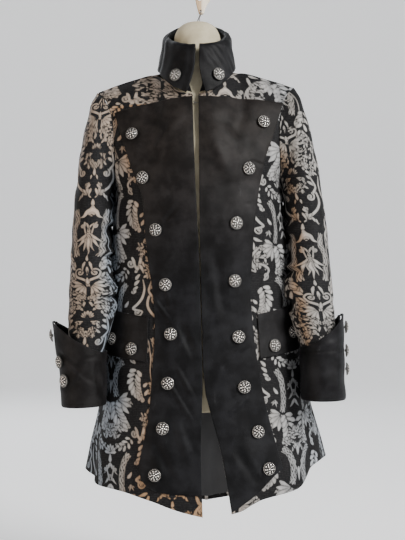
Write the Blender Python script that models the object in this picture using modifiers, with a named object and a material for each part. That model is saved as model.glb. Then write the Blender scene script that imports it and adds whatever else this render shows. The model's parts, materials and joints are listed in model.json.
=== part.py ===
"""Frock coat on a hanging dress form.

Metres, +Z up.  The coat's front faces -Y, +X is the wearer's left, and the world origin is
the top of the wooden hook that holds everything up.  The coat is cut as cloth walls: two
fronts, two backs, two sleeves, turned-back velvet cuffs, velvet front panels, pocket flaps,
a stand and fall collar and the skirt lining that shows.  Every wall starts as an open sheet
on the coat's own surface and is given its thickness by a Solidify modifier.

The coat's surface has two stretches.  Below the armpit it is a stack of rings.  Above it,
front and back are each a patch between that ring, the neckline and shoulder seam, the
centre edge and the armhole.  A place on a panel is (across, along): across runs from the
centre edge, 0, to the side seam or armhole, 1.  Along runs from the shoulder, -1, through
the armpit, 0, to the hem, 1.
"""

import math
from collections import namedtuple

import bmesh
import bpy
from mathutils import Matrix, Vector

# ---------------------------------------------------------------- driving sizes
HANG_TILT = math.radians(-1.5)      # the coat and its form hang a little askew
HANG_X = -0.017                     # where the coat's own axis passes the origin's height

DAMASK_WALL = 0.0018
VELVET_WALL = 0.0016
LINING_WALL = 0.0010
SEAM_GAP = 0.0003                   # between pieces sewn edge to edge
LAY_GAP = 0.0004                    # under a piece laid on another
ON_DAMASK = DAMASK_WALL + 2 * LAY_GAP    # lift of a piece laid on a front
SHOULDER_ALONG = -0.998             # a panel's top row, just short of the shoulder seam

ARMPIT_Z = -0.425
SHOULDER_TIP = Vector((0.198, 0.004, -0.226))
NECK_SIDE = Vector((0.069, -0.006, -0.192))
NECK_SHARE = 0.40                   # share of the top edge that is neckline
ROUNDNESS = 2.25                    # 2 is an ellipse, more is squarer

VELVET_COLUMNS = 6                  # columns of a front under its velvet panel
OUTER_COLUMNS = 6                   # and from there to the side seam
VELVET_ROWS = 16
BACK_COLUMNS = 9
BACK_UPPER_ROWS = 7
BACK_SKIRT_ROWS = 11

BodyRing = namedtuple("BodyRing", "down half_width front_depth back_depth")
BODY_RINGS = (
    BodyRing(0.00, 0.166, 0.116, 0.104),    # armpit
    BodyRing(0.10, 0.172, 0.124, 0.107),    # bust
    BodyRing(0.19, 0.178, 0.119, 0.102),
    BodyRing(0.30, 0.184, 0.112, 0.098),    # waist
    BodyRing(0.42, 0.190, 0.116, 0.108),
    BodyRing(0.57, 0.199, 0.126, 0.128),    # hip
    BodyRing(0.79, 0.210, 0.137, 0.146),
    BodyRing(0.91, 0.224, 0.144, 0.158),
    BodyRing(1.00, 0.233, 0.147, 0.164),    # hem
)

# Height of the hem: around is 0 at centre front, 0.5 at the side seam, 1 at centre back.
HemPoint = namedtuple("HemPoint", "around right left")
HEM_LINE = (
    HemPoint(0.00, -1.066, -1.066),
    HemPoint(0.07, -1.050, -1.058),
    HemPoint(0.13, -1.033, -1.039),
    HemPoint(0.26, -1.016, -1.020),
    HemPoint(0.34, -1.009, -0.993),
    HemPoint(0.42, -0.999, -0.979),
    HemPoint(0.50, -0.990, -0.974),
    HemPoint(0.62, -1.004, -0.996),
    HemPoint(0.80, -1.060, -1.060),
    HemPoint(1.00, -1.096, -1.096),
)

# Soft folds of the skirt: they start at `start`, and are `depth` deep at the hem.
SkirtFold = namedtuple("SkirtFold", "around width start depth")
SKIRT_FOLDS = {
    "right": (
        SkirtFold(0.12, 0.040, 0.62, 0.004),
        SkirtFold(0.23, 0.045, 0.58, -0.005),
        SkirtFold(0.34, 0.040, 0.66, 0.006),
        SkirtFold(0.42, 0.030, 0.70, -0.006),
        SkirtFold(0.51, 0.050, 0.60, 0.011),
        SkirtFold(0.63, 0.045, 0.52, -0.008),
        SkirtFold(0.76, 0.050, 0.44, 0.009),
        SkirtFold(0.89, 0.045, 0.48, -0.010),
        SkirtFold(1.00, 0.045, 0.46, 0.009),
    ),
    "left": (
        SkirtFold(0.14, 0.040, 0.55, -0.004),
        SkirtFold(0.25, 0.045, 0.62, 0.006),
        SkirtFold(0.36, 0.035, 0.64, -0.006),
        SkirtFold(0.49, 0.050, 0.58, 0.011),
        SkirtFold(0.60, 0.040, 0.55, -0.007),
        SkirtFold(0.71, 0.050, 0.50, 0.008),
        SkirtFold(0.86, 0.050, 0.44, -0.011),
        SkirtFold(1.00, 0.045, 0.46, 0.009),
    ),
}

# Distance of each front edge from the coat's axis, by height.
FrontEdge = namedtuple("FrontEdge", "z right left")
FRONT_EDGES = (
    FrontEdge(-1.070, 0.0075, 0.0495),
    FrontEdge(-1.000, 0.0080, 0.0400),
    FrontEdge(-0.940, 0.0075, 0.0300),
    FrontEdge(-0.865, 0.0040, 0.0120),
    FrontEdge(-0.820, 0.0016, 0.0032),
    FrontEdge(-0.770, 0.0010, 0.0010),
    FrontEdge(-0.600, 0.0010, 0.0010),
    FrontEdge(-0.545, 0.0018, 0.0010),
    FrontEdge(-0.450, 0.0042, 0.0022),
    FrontEdge(-0.360, 0.0060, 0.0042),
    FrontEdge(-0.246, 0.0062, 0.0056),
)

# Front and back edges of the armhole, from the armpit up to the shoulder tip.
ArmholePoint = namedtuple("ArmholePoint", "rise x front_y back_y z")
ARMHOLE = (
    ArmholePoint(0.00, 0.1660, 0.000, 0.000, -0.425),
    ArmholePoint(0.18, 0.1635, -0.038, 0.038, -0.400),
    ArmholePoint(0.42, 0.1615, -0.058, 0.057, -0.348),
    ArmholePoint(0.66, 0.1660, -0.050, 0.052, -0.290),
    ArmholePoint(0.86, 0.1830, -0.024, 0.028, -0.243),
    ArmholePoint(1.00, 0.1980, 0.004, 0.004, -0.226),
)

CentreLine = namedtuple("CentreLine", "rise front_y front_z back_y back_z")
CENTRE_LINES = (
    CentreLine(0.00, -0.116, -0.425, 0.104, -0.425),
    CentreLine(0.30, -0.117, -0.371, 0.107, -0.352),
    CentreLine(0.60, -0.109, -0.317, 0.099, -0.279),
    CentreLine(0.82, -0.098, -0.278, 0.082, -0.226),
    CentreLine(1.00, -0.086, -0.246, 0.056, -0.186),
)

# Sleeve rings: the outer and inner ends of each, its middle in Y and its half depth.
SleeveRing = namedtuple("SleeveRing", "outer_x outer_z inner_x inner_z mid_y half_depth")
SLEEVE_RINGS = (
    SleeveRing(0.2080, -0.243, 0.1730, -0.436, 0.000, 0.0630),
    SleeveRing(0.2180, -0.275, 0.1745, -0.444, -0.001, 0.0665),
    SleeveRing(0.2275, -0.312, 0.1757, -0.453, -0.003, 0.0680),
    SleeveRing(0.2370, -0.362, 0.1770, -0.466, -0.007, 0.0675),
    SleeveRing(0.2465, -0.430, 0.1785, -0.490, -0.014, 0.0650),
    SleeveRing(0.2535, -0.505, 0.1810, -0.525, -0.026, 0.0620),
    SleeveRing(0.2575, -0.580, 0.1855, -0.585, -0.042, 0.0580),
    SleeveRing(0.2600, -0.650, 0.1895, -0.650, -0.062, 0.0530),
    SleeveRing(0.2610, -0.720, 0.1940, -0.720, -0.080, 0.0495),
    SleeveRing(0.2620, -0.785, 0.1975, -0.785, -0.088, 0.0480),
    SleeveRing(0.2625, -0.838, 0.1990, -0.838, -0.091, 0.0470),
)
SLEEVE_STEPS = 16                   # points round a sleeve
SLEEVE_SQUARENESS = 2.3
SLEEVE_CLEAR = (0.7, 2.2)           # walls between sleeve and body at shoulder tip and armpit

# Cuffs: rings from the lower edge, 0, to the upper edge, 1.
CuffRing = namedtuple("CuffRing", "up right left half_depth")
CUFF_RINGS = (
    CuffRing(0.00, 0.0420, 0.0420, 0.0540),
    CuffRing(0.40, 0.0435, 0.0412, 0.0560),
    CuffRing(0.72, 0.0450, 0.0410, 0.0580),
    CuffRing(1.00, 0.0460, 0.0415, 0.0600),
)
CUFF_BOTTOM_Z = -0.848
CUFF_INNER_TOP_Z = -0.747
CUFF_POINT_RISE = 0.062             # how much higher the pointed outer corner stands
CUFF_MID_X = 0.2345
CUFF_MID_Y = (-0.091, -0.084)       # lower edge, upper edge
CUFF_POINT_FLARE = {"right": 0.011, "left": 0.0015}   # how far the pointed corner stands out
CUFF_TURN = (0.0365, 0.0512, -0.8405)   # half width, half depth and height of its turned-in edge
CUFF_TURN_SHIFT = 0.0030            # how far that edge stands towards the body
CUFF_FLARE_FROM = 0.35              # height at which that starts
CUFF_POWER = 0.9                    # 1 is an ellipse, less is squarer
CUFF_ROWS = (1.0, 0.86, 0.6, 0.3, 0.0)
CUFF_STEPS = 20
# The cuff's slit, as the angle of its upper and lower ends from the outer side to the front.
CuffSlit = namedtuple("CuffSlit", "top_angle bottom_angle top_opening bottom_opening")
CUFF_SLITS = {
    "right": CuffSlit(math.radians(-8), math.radians(20), math.radians(13), math.radians(7)),
    "left": CuffSlit(math.radians(-16), math.radians(-10), math.radians(13), math.radians(6)),
}

# Collar: rings of the stand from the neck seam up, and of the fall from the roll down.
CollarRing = namedtuple(
    "CollarRing",
    "share half_width front_y back_y front_z side_z back_z edge_right edge_left shift",
)
STAND_RINGS = (
    CollarRing(0.00, 0.0685, -0.0868, 0.0567, -0.2430, -0.1880, -0.1825, 0.0080, 0.0070, 0.001),
    CollarRing(0.25, 0.0672, -0.0830, 0.0600, -0.2200, -0.1700, -0.1590, 0.0150, 0.0120, 0.003),
    CollarRing(0.60, 0.0635, -0.0780, 0.0605, -0.1860, -0.1450, -0.1210, 0.0060, 0.0060, 0.005),
    CollarRing(0.92, 0.0605, -0.0730, 0.0600, -0.1540, -0.1235, -0.0880, 0.0045, 0.0045, 0.006),
)
FALL_RINGS = (
    CollarRing(0.00, 0.0618, -0.0745, 0.0615, -0.1475, -0.1175, -0.0820, 0.0040, 0.0040, 0.006),
    CollarRing(0.10, 0.0665, -0.0800, 0.0655, -0.1505, -0.1200, -0.0845, 0.0034, 0.0034, 0.006),
    CollarRing(0.45, 0.0705, -0.0880, 0.0685, -0.1840, -0.1420, -0.1180, 0.0044, 0.0036, 0.005),
    CollarRing(0.78, 0.0740, -0.0950, 0.0715, -0.2190, -0.1660, -0.1630, 0.0110, 0.0085, 0.004),
    CollarRing(1.00, 0.0775, -0.1000, 0.0745, -0.2470, -0.1860, -0.1950, 0.0210, 0.0170, 0.003),
)
COLLAR_STEPS = 22
NECK_SHIFT = 0.006                  # the neck stands a little to the wearer's left

# Velvet front panels, in front elevation: distance of the outer edge from the axis by height.
VelvetEdge = namedtuple("VelvetEdge", "z right left")
VELVET_EDGES = (
    VelvetEdge(-1.060, 0.150, 0.180),
    VelvetEdge(-0.978, 0.130, 0.148),
    VelvetEdge(-0.936, 0.120, 0.1375),
    VelvetEdge(-0.870, 0.1055, 0.1215),
    VelvetEdge(-0.774, 0.0960, 0.1050),
    VelvetEdge(-0.694, 0.0900, 0.0980),
    VelvetEdge(-0.635, 0.0925, 0.0955),
    VelvetEdge(-0.582, 0.0990, 0.1000),
    VelvetEdge(-0.522, 0.1035, 0.1050),
    VelvetEdge(-0.452, 0.1080, 0.1150),
    VelvetEdge(-0.383, 0.1295, 0.1300),
    VelvetEdge(-0.330, 0.1460, 0.1500),
    VelvetEdge(-0.262, 0.1660, 0.1740),
)
# Upper and lower ends of the velvet panel, by the share of its width from the front edge.
VelvetEnd = namedtuple("VelvetEnd", "share top_right top_left bottom_right bottom_left")
VELVET_ENDS = (
    VelvetEnd(0.00, -0.2520, -0.2520, -1.0240, -1.0570),
    VelvetEnd(0.50, -0.2600, -0.2560, -1.0190, -1.0200),
    VelvetEnd(0.80, -0.2680, -0.2600, -1.0060, -0.9940),
    VelvetEnd(1.00, -0.2760, -0.2640, -0.9760, -0.9800),
)

# Pocket flaps, by across on the front panel and height.
FLAP_INNER_X = {"right": (0.1015, 0.1060), "left": (0.1075, 0.1095)}    # top, bottom
FLAP_OUTER_ACROSS = 0.93            # where it ends, by the side seam
FLAP_TOP_Z = (-0.682, -0.657)       # inner end, outer end
FLAP_BOTTOM_Z = (-0.768, -0.748)
FLAP_LIFT = 0.0015                  # how far the lower edge stands off
FLAP_COLUMNS = 7
FLAP_ROWS = 4

LINING_FROM, LINING_TO = 0.55, 0.985    # stretch of the back that the lining covers, by along

# Buttons, in front elevation: distance from the axis and height.
FrontButton = namedtuple("FrontButton", "right_x right_z left_x left_z")
FRONT_BUTTONS = (
    FrontButton(0.1250, -0.3230, 0.1310, -0.3050),
    FrontButton(0.1045, -0.4085, 0.0980, -0.3970),
    FrontButton(0.0820, -0.5115, 0.0710, -0.5030),
    FrontButton(0.0670, -0.6190, 0.0655, -0.6150),
    FrontButton(0.0595, -0.7150, 0.0700, -0.7240),
    FrontButton(0.0670, -0.8090, 0.0780, -0.8200),
    FrontButton(0.0790, -0.8950, 0.1020, -0.9070),
    FrontButton(0.0955, -0.9830, 0.1210, -0.9780),
)
FLAP_BUTTONS = (
    FrontButton(0.1710, -0.7240, 0.1730, -0.7200),
    FrontButton(0.1340, -0.7430, 0.1380, -0.7440),
)
COLLAR_BUTTON_X = 0.040
COLLAR_BUTTON_DOWN = 0.80           # along the fall, from the roll
CUFF_BUTTON_HEIGHTS = (0.84, 0.56, 0.34)
CUFF_BUTTON_ANGLES = {
    "right": (math.radians(10), math.radians(38), math.radians(50)),
    "left": (math.radians(2), math.radians(4), math.radians(6)),
}
BUTTON_PROFILE = (                  # a domed head on a shank: radius and height
    (0.0, 0.0072),
    (0.0076, 0.0062),
    (0.0127, 0.0032),
    (0.0117, 0.0022),
    (0.0026, 0.0022),
    (0.0026, 0.0),
    (0.0, 0.0),
)
BUTTON_STEPS = 10

# The hook and eye at the throat: the eye's route in front elevation, the hook's from above.
FASTENING_Y = -0.0898
FASTENING_Z = -0.2640
FASTENING_RADIUS = 0.0005
EYE_ROUTE = (
    (-0.0085, 0.0012),
    (-0.0050, 0.0022),
    (-0.0022, 0.0014),
    (-0.0014, 0.0),
    (-0.0022, -0.0014),
    (-0.0050, -0.0022),
    (-0.0085, -0.0012),
)
CATCH_ROUTE = (
    (0.0085, -0.0016),
    (0.0030, -0.0017),
    (-0.0024, -0.0016),
    (-0.0040, -0.0004),
    (-0.0030, 0.0012),
    (0.0005, 0.0014),
)

# The form inside the coat: how far it stands in from the cloth at each height.
FormRing = namedtuple("FormRing", "z inset")
FORM_RINGS = (
    FormRing(-0.868, 0.020),
    FormRing(-0.862, 0.013),
    FormRing(-0.800, 0.011),
    FormRing(-0.720, 0.011),
    FormRing(-0.650, 0.012),
    FormRing(-0.592, 0.010),
    FormRing(-0.530, 0.008),
    FormRing(-0.470, 0.006),
)
FORM_RISES = (0.0, 0.22, 0.44, 0.62, 0.78, 0.88)
FORM_REACH = 0.955                  # how near the armhole the form comes, by across
FORM_SIDE_BULGE = 0.004
FORM_INSET = 0.006
SHOULDER_SAG = 0.004                # between the shoulders and the neck
FORM_ACROSS = (0.0, 0.14, 0.28, 0.42, 0.58, 0.74, 0.88, 1.0)
NECK_TURN = math.radians(66)        # how much of the neck the neckline's part of a ring takes
NECK_TURN_SHARE = 0.46
NeckRing = namedtuple("NeckRing", "z half_width half_depth mid_y")
NECK_RINGS = (
    NeckRing(-0.196, 0.0590, 0.0560, -0.008),
    NeckRing(-0.182, 0.0520, 0.0520, -0.008),
    NeckRing(-0.150, 0.0478, 0.0490, -0.006),
    NeckRing(-0.126, 0.0473, 0.0480, -0.005),
    NeckRing(-0.112, 0.0440, 0.0450, -0.004),
    NeckRing(-0.100, 0.0370, 0.0380, -0.003),
    NeckRing(-0.092, 0.0260, 0.0270, -0.003),
    NeckRing(-0.0885, 0.0130, 0.0140, -0.003),
)

# The wooden hook, seen from the front: half widths by height.
HookPoint = namedtuple("HookPoint", "z half_width mid_x")
HOOK_OUTLINE = (
    HookPoint(0.0, 0.0165, 0.0040),
    HookPoint(-0.018, 0.0165, 0.0040),
    HookPoint(-0.0415, 0.0154, 0.0037),
    HookPoint(-0.0525, 0.0106, 0.0012),
    HookPoint(-0.0595, 0.0082, 0.0006),
    HookPoint(-0.0675, 0.0057, 0.0004),
)
HOOK_TIP_ROUND = 0.0035
HOOK_THICKNESS = 0.012
HOOK_BEVEL = 0.0012
HOOK_EYE = Vector((-0.0004, 0.0, -0.0650))
HOOK_EYE_RADIUS = 0.0024
SCREW_HOLE = Vector((-0.0031, 0.0, -0.0415))
SCREW_HOLE_RADIUS = 0.0034
HOOK_HOLE_STEPS = 32
WIRE_RADIUS = 0.0009
WIRE_FEET = (Vector((-0.0088, -0.003, -0.0995)), Vector((-0.0016, -0.003, -0.0995)))
WIRE_CLEAR = 0.0024                 # how far it stands off the wooden hook's faces
WIRE_BOW = Vector((-0.001, 0.0, 0.0))
WIRE_HOLE_RADIUS = 0.0026
WIRE_HOLE_DEPTH = 0.012

SIDES = (("right", -1.0), ("left", 1.0))


# ---------------------------------------------------------------- numbers
def mix(low, high, share):
    return low + (high - low) * share


def read(rows, key, at, name):
    """A column of a table at a place between its rows, on a smooth curve through them."""
    rows = sorted(rows, key=lambda row: getattr(row, key))
    places = [getattr(row, key) for row in rows]
    values = [getattr(row, name) for row in rows]
    at = min(max(at, places[0]), places[-1])
    last = len(rows) - 2
    i = next((k for k in range(last + 1) if at <= places[k + 1]), last)

    def slope(k):
        if k == 0:
            return (values[1] - values[0]) / (places[1] - places[0])
        if k == len(rows) - 1:
            return (values[k] - values[k - 1]) / (places[k] - places[k - 1])
        before = (values[k] - values[k - 1]) / (places[k] - places[k - 1])
        after = (values[k + 1] - values[k]) / (places[k + 1] - places[k])
        if before * after <= 0.0:
            return 0.0
        return 2.0 * before * after / (before + after)

    span = places[i + 1] - places[i]
    s = (at - places[i]) / span
    return (
        (2 * s**3 - 3 * s**2 + 1) * values[i]
        + (s**3 - 2 * s**2 + s) * span * slope(i)
        + (3 * s**2 - 2 * s**3) * values[i + 1]
        + (s**3 - s**2) * span * slope(i + 1)
    )


def power(value, exponent):
    """value to a power, keeping its sign."""
    return math.copysign(abs(value) ** exponent, value)


# ---------------------------------------------------------------- the coat's surface
def skirt_fold(side, around, down):
    """How far the skirt's folds move a point out."""
    total = 0.0
    for fold in SKIRT_FOLDS[side]:
        grown = max(0.0, (down - fold.start) / (1.0 - fold.start))
        near = math.exp(-(((around - fold.around) / fold.width) ** 2))
        total += fold.depth * near * grown**1.3
    return total


def ring_point(side, down, angle):
    """A point of the coat below the armpit: angle 0 is centre front, pi is centre back."""
    around = angle / math.pi
    half_width = read(BODY_RINGS, "down", down, "half_width")
    front = math.cos(angle) > 0.0
    depth = read(BODY_RINGS, "down", down, "front_depth" if front else "back_depth")
    x = half_width * power(math.sin(angle), 2.0 / ROUNDNESS)
    y = -depth * power(math.cos(angle), 2.0 / ROUNDNESS)
    out = Vector((x, y, 0.0))
    out *= 1.0 + skirt_fold(side, around, down) / out.length
    out.z = mix(ARMPIT_Z, read(HEM_LINE, "around", around, side), down)
    return out


def edge_angle(side, down):
    """The angle at which a front's edge lies on its ring."""
    z = mix(ARMPIT_Z, HEM_LINE[0].left, down)
    share = read(FRONT_EDGES, "z", z, side) / read(BODY_RINGS, "down", down, "half_width")
    return math.asin(share ** (ROUNDNESS / 2.0))


def armhole_point(rise, back):
    y_name = "back_y" if back else "front_y"
    return Vector(
        (
            read(ARMHOLE, "rise", rise, "x"),
            read(ARMHOLE, "rise", rise, y_name),
            read(ARMHOLE, "rise", rise, "z"),
        )
    )


def centre_point(side, rise, back):
    face = "back" if back else "front"
    z = read(CENTRE_LINES, "rise", rise, face + "_z")
    x = 0.0 if back else read(FRONT_EDGES, "z", z, side)
    return Vector((x, read(CENTRE_LINES, "rise", rise, face + "_y"), z))


def top_point(side, across, back):
    """The neckline from the centre edge to the side of the neck, then the shoulder seam."""
    if across <= NECK_SHARE:
        start = centre_point(side, 1.0, back)
        turn = across / NECK_SHARE * math.pi / 2
        return Vector(
            (
                mix(start.x, NECK_SIDE.x, math.sin(turn)),
                mix(NECK_SIDE.y, start.y, math.cos(turn)),
                mix(NECK_SIDE.z, start.z, math.cos(turn) ** 1.5),
            )
        )
    share = (across - NECK_SHARE) / (1.0 - NECK_SHARE)
    seam = NECK_SIDE.lerp(SHOULDER_TIP, share)
    seam.z += 0.004 * math.sin(math.pi * share)
    return seam


def base_point(side, across, back):
    if back:
        return ring_point(side, 0.0, mix(math.pi, math.pi / 2, across))
    return ring_point(side, 0.0, mix(edge_angle(side, 0.0), math.pi / 2, across))


def coat_point(side, across, along, back=False):
    """A point of a front or back, for the wearer's left side."""
    if along >= 0.0:
        start = math.pi if back else edge_angle(side, along)
        return ring_point(side, along, mix(start, math.pi / 2, across))
    rise = -along
    low = base_point(side, across, back)
    high = top_point(side, across, back)
    centre = centre_point(side, rise, back)
    armhole = armhole_point(rise, back)
    corners = (
        mix(1.0, 0.0, across) * mix(1.0, 0.0, rise) * base_point(side, 0.0, back)
        + across * (1.0 - rise) * base_point(side, 1.0, back)
        + (1.0 - across) * rise * top_point(side, 0.0, back)
        + across * rise * top_point(side, 1.0, back)
    )
    return low.lerp(high, rise) + centre.lerp(armhole, across) - corners


def coat_normal(side, across, along, back=False):
    """Straight out of the cloth, for the wearer's left side."""
    step = 0.004
    a0, a1 = max(across - step, 0.0), min(across + step, 1.0)
    b0, b1 = max(along - step, -1.0), min(along + step, 1.0)
    sideways = coat_point(side, a1, along, back) - coat_point(side, a0, along, back)
    down = coat_point(side, across, b1, back) - coat_point(side, across, b0, back)
    normal = sideways.cross(down).normalized()
    return normal if back else -normal


def coat_out(side, across, along, distance, back=False):
    """A point moved straight out of the cloth by a distance."""
    place = coat_point(side, across, along, back)
    return place + coat_normal(side, across, along, back) * distance


def locate(side, x, z):
    """The (across, along) of the front's point that is seen at x and z from the front."""
    across, along = 0.5, (ARMPIT_Z - z) / 0.6
    step = 0.002
    for _ in range(40):
        across = min(max(across, 0.0), 0.995)
        along = min(max(along, -0.995), 0.995)
        here = coat_point(side, across, along)
        by_across = (coat_point(side, across + step, along) - here) / step
        by_along = (coat_point(side, across, along + step) - here) / step
        miss_x, miss_z = x - here.x, z - here.z
        if abs(miss_x) + abs(miss_z) < 0.00001:
            break
        spread = by_across.x * by_along.z - by_across.z * by_along.x
        move_across = (miss_x * by_along.z - miss_z * by_along.x) / spread
        move_along = (miss_z * by_across.x - miss_x * by_across.z) / spread
        across += min(max(move_across, -0.15), 0.15)
        along += min(max(move_along, -0.15), 0.15)
    return across, along


# ---------------------------------------------------------------- objects and materials
def clear_scene():
    for thing in list(bpy.data.objects):
        bpy.data.objects.remove(thing, do_unlink=True)


def collection(name):
    made = bpy.data.collections.new(name)
    bpy.context.scene.collection.children.link(made)
    return made


def material(name, colour, roughness, metallic=0.0):
    made = bpy.data.materials.new(name)
    made.use_nodes = True
    shader = made.node_tree.nodes["Principled BSDF"]
    shader.inputs["Base Color"].default_value = (*colour, 1.0)
    shader.inputs["Roughness"].default_value = roughness
    shader.inputs["Metallic"].default_value = metallic
    return made


def add_object(name, data, finish, parent=None, into=None):
    made = bpy.data.objects.new(name, data)
    (into or PARTS).objects.link(made)
    if not data.materials:
        data.materials.append(finish)
    made.parent = parent
    return made


def smooth(mesh):
    mesh.shade_smooth()
    mesh.set_sharp_from_angle(angle=math.radians(40))


def sheet_mesh(name, rows, closed=False):
    """An open sheet from rows of points; closed joins each row's ends."""
    shape = bmesh.new()
    grid = [[shape.verts.new(point) for point in row] for row in rows]
    wide = len(rows[0])
    for upper, lower in zip(grid, grid[1:]):
        for j in range(wide if closed else wide - 1):
            k = (j + 1) % wide
            shape.faces.new((upper[j], lower[j], lower[k], upper[k]))
    mesh = bpy.data.meshes.new(name)
    shape.to_mesh(mesh)
    shape.free()
    smooth(mesh)
    return mesh


def add_cloth(name, rows, wall, finish, sign=1.0, closed=False):
    """A cloth wall.  Rows run top to bottom, and points run towards +X on a front."""
    rows = [[Vector((sign * p.x, p.y, p.z)) for p in row] for row in rows]
    if sign < 0.0:
        rows = [list(reversed(row)) for row in rows]
    cloth = add_object(name, sheet_mesh(name, rows, closed), finish, COAT)
    thick = cloth.modifiers.new("wall", "SOLIDIFY")
    thick.thickness = wall
    thick.offset = 1.0
    thick.use_even_offset = False
    return cloth


# ---------------------------------------------------------------- cloth pieces
def front_places(side):
    """(across, along) of a front's grid, whose lines take in the velvet panel's edges."""
    grid = []
    for i in range(VELVET_ROWS + 1):
        row = []
        for j in range(VELVET_COLUMNS + 1):
            share = j / VELVET_COLUMNS
            top = read(VELVET_ENDS, "share", share, "top_" + side)
            bottom = read(VELVET_ENDS, "share", share, "bottom_" + side)
            z = mix(top, bottom, i / VELVET_ROWS)
            inner = read(FRONT_EDGES, "z", z, side)
            x = mix(inner, read(VELVET_EDGES, "z", z, side), share)
            row.append(locate(side, x, z))
        across, along = row[-1]
        for j in range(1, OUTER_COLUMNS + 1):
            row.append((mix(across, 1.0, j / OUTER_COLUMNS), along))
        grid.append(row)
    first = [(across, SHOULDER_ALONG) for across, _ in grid[0]]
    second = [(across, mix(SHOULDER_ALONG, along, 0.5)) for across, along in grid[0]]
    hem = [(across, 1.0) for across, _ in grid[-1]]
    return [first, second, *grid, hem]


def inset_seams(side, rows, back):
    """Moves a panel's seam edges in by half a seam gap."""
    inset = []
    for row in rows:
        points = []
        for across, along in row:
            centre = coat_point(side, 0.0, along, back)
            margin = SEAM_GAP / 2 / (coat_point(side, 1.0, along, back) - centre).length
            points.append((min(max(across, margin if back else 0.0), 1.0 - margin), along))
        inset.append(points)
    return inset


def back_places():
    """(across, along) of a back's grid."""
    rows = [mix(SHOULDER_ALONG, 0.0, i / BACK_UPPER_ROWS) for i in range(BACK_UPPER_ROWS)]
    rows += [i / BACK_SKIRT_ROWS for i in range(BACK_SKIRT_ROWS + 1)]
    return [[(j / BACK_COLUMNS, along) for j in range(BACK_COLUMNS + 1)] for along in rows]


def points_of(side, places, back=False, out=0.0):
    return [[coat_out(side, across, along, out, back) for across, along in row] for row in places]


def build_fronts():
    for side, sign in SIDES:
        places = inset_seams(side, front_places(side), False)
        add_cloth(f"front_{side}", points_of(side, places), DAMASK_WALL, DAMASK, sign)
        panel = [row[: VELVET_COLUMNS + 1] for row in places[2:-1]]
        rows = points_of(side, panel, False, ON_DAMASK)
        add_cloth(f"velvet_panel_{side}", rows, VELVET_WALL, VELVET, sign)


def build_backs():
    """The backs, and the lining of their skirt."""
    lining = {}
    for side, sign in SIDES:
        places = inset_seams(side, back_places(), True)
        rows = [list(reversed(row)) for row in points_of(side, places, True)]
        add_cloth(f"back_{side}", rows, DAMASK_WALL, DAMASK, sign)
        places = [row[:-1] for row in back_places() if row[0][1] > LINING_FROM]
        places[-1] = [(across, LINING_TO) for across, _ in places[-1]]
        inside = points_of(side, places, True, -LINING_WALL - LAY_GAP)
        lining[side] = [[Vector((sign * p.x, p.y, p.z)) for p in row] for row in inside]
    rows = [
        list(reversed(left)) + right[1:] for left, right in zip(lining["left"], lining["right"])
    ]
    add_cloth("lining_back", rows, LINING_WALL, SATIN)


def flap_place(side, share_across, share_down):
    """(across, along) of a point of the pocket flap."""
    top = mix(*FLAP_TOP_Z, share_across)
    bottom = mix(*FLAP_BOTTOM_Z, share_across)
    z = mix(top, bottom, share_down)
    start, _ = locate(side, mix(*FLAP_INNER_X[side], share_down), z)
    across = mix(start, FLAP_OUTER_ACROSS, share_across)
    around = mix(edge_angle(side, 0.5), math.pi / 2, across) / math.pi
    along = (ARMPIT_Z - z) / (ARMPIT_Z - read(HEM_LINE, "around", around, side))
    return across, along


def build_pocket_flaps():
    for side, sign in SIDES:
        rows = []
        for i in range(FLAP_ROWS + 1):
            down = i / FLAP_ROWS
            lift = ON_DAMASK + FLAP_LIFT * down
            places = [flap_place(side, j / FLAP_COLUMNS, down) for j in range(FLAP_COLUMNS + 1)]
            rows.append([coat_out(side, across, along, lift) for across, along in places])
        add_cloth(f"pocket_flap_{side}", rows, VELVET_WALL, VELVET, sign)


def sleeve_loop(turn):
    """The armhole seam's point at a turn: 0 at the shoulder tip, pi at the armpit."""
    back = turn > math.pi
    rise = abs(turn - math.pi) / math.pi
    point = armhole_point(rise, back)
    low = (1.0 - math.cos(math.pi * (1.0 - rise))) / 2
    clear = SEAM_GAP + DAMASK_WALL * mix(*SLEEVE_CLEAR, low)
    return point + Vector((clear, 0.0, 0.0))


def sleeve_ring_point(ring, turn):
    outer = Vector((ring.outer_x, ring.mid_y, ring.outer_z))
    inner = Vector((ring.inner_x, ring.mid_y, ring.inner_z))
    middle = outer.lerp(inner, 0.5)
    power_of = 2.0 / SLEEVE_SQUARENESS
    point = middle + (outer - middle) * power(math.cos(turn), power_of)
    point.y -= ring.half_depth * power(math.sin(turn), power_of)
    return point


def build_sleeves():
    turns = [2 * math.pi * k / SLEEVE_STEPS for k in range(SLEEVE_STEPS)]
    for side, sign in SIDES:
        rows = [[sleeve_loop(turn) for turn in turns]]
        rows += [[sleeve_ring_point(ring, turn) for turn in turns] for ring in SLEEVE_RINGS]
        rows = [list(reversed(row)) for row in rows]
        add_cloth(f"sleeve_{side}", rows, DAMASK_WALL, DAMASK, sign, closed=True)


def near_corner(turn):
    """1 at the cuff's pointed outer corner, falling to 0 on its inner side."""
    return max(0.0, math.cos(math.remainder(turn, 2 * math.pi) / 2)) ** 3


def cuff_point(side, turn, up):
    """A point of the cuff: turn 0 is the outer side, a quarter turn the front."""
    half_width = read(CUFF_RINGS, "up", up, side)
    half_depth = read(CUFF_RINGS, "up", up, "half_depth")
    raised = max(0.0, up - CUFF_FLARE_FROM) / (1.0 - CUFF_FLARE_FROM)
    flare = CUFF_POINT_FLARE[side] * near_corner(turn) ** 2 * raised
    x = CUFF_MID_X + (half_width + flare) * power(math.cos(turn), CUFF_POWER)
    y = mix(*CUFF_MID_Y, up) - half_depth * power(math.sin(turn), CUFF_POWER)
    top = CUFF_INNER_TOP_Z + CUFF_POINT_RISE * near_corner(turn)
    return Vector((x, y, mix(CUFF_BOTTOM_Z, top, up)))


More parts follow.
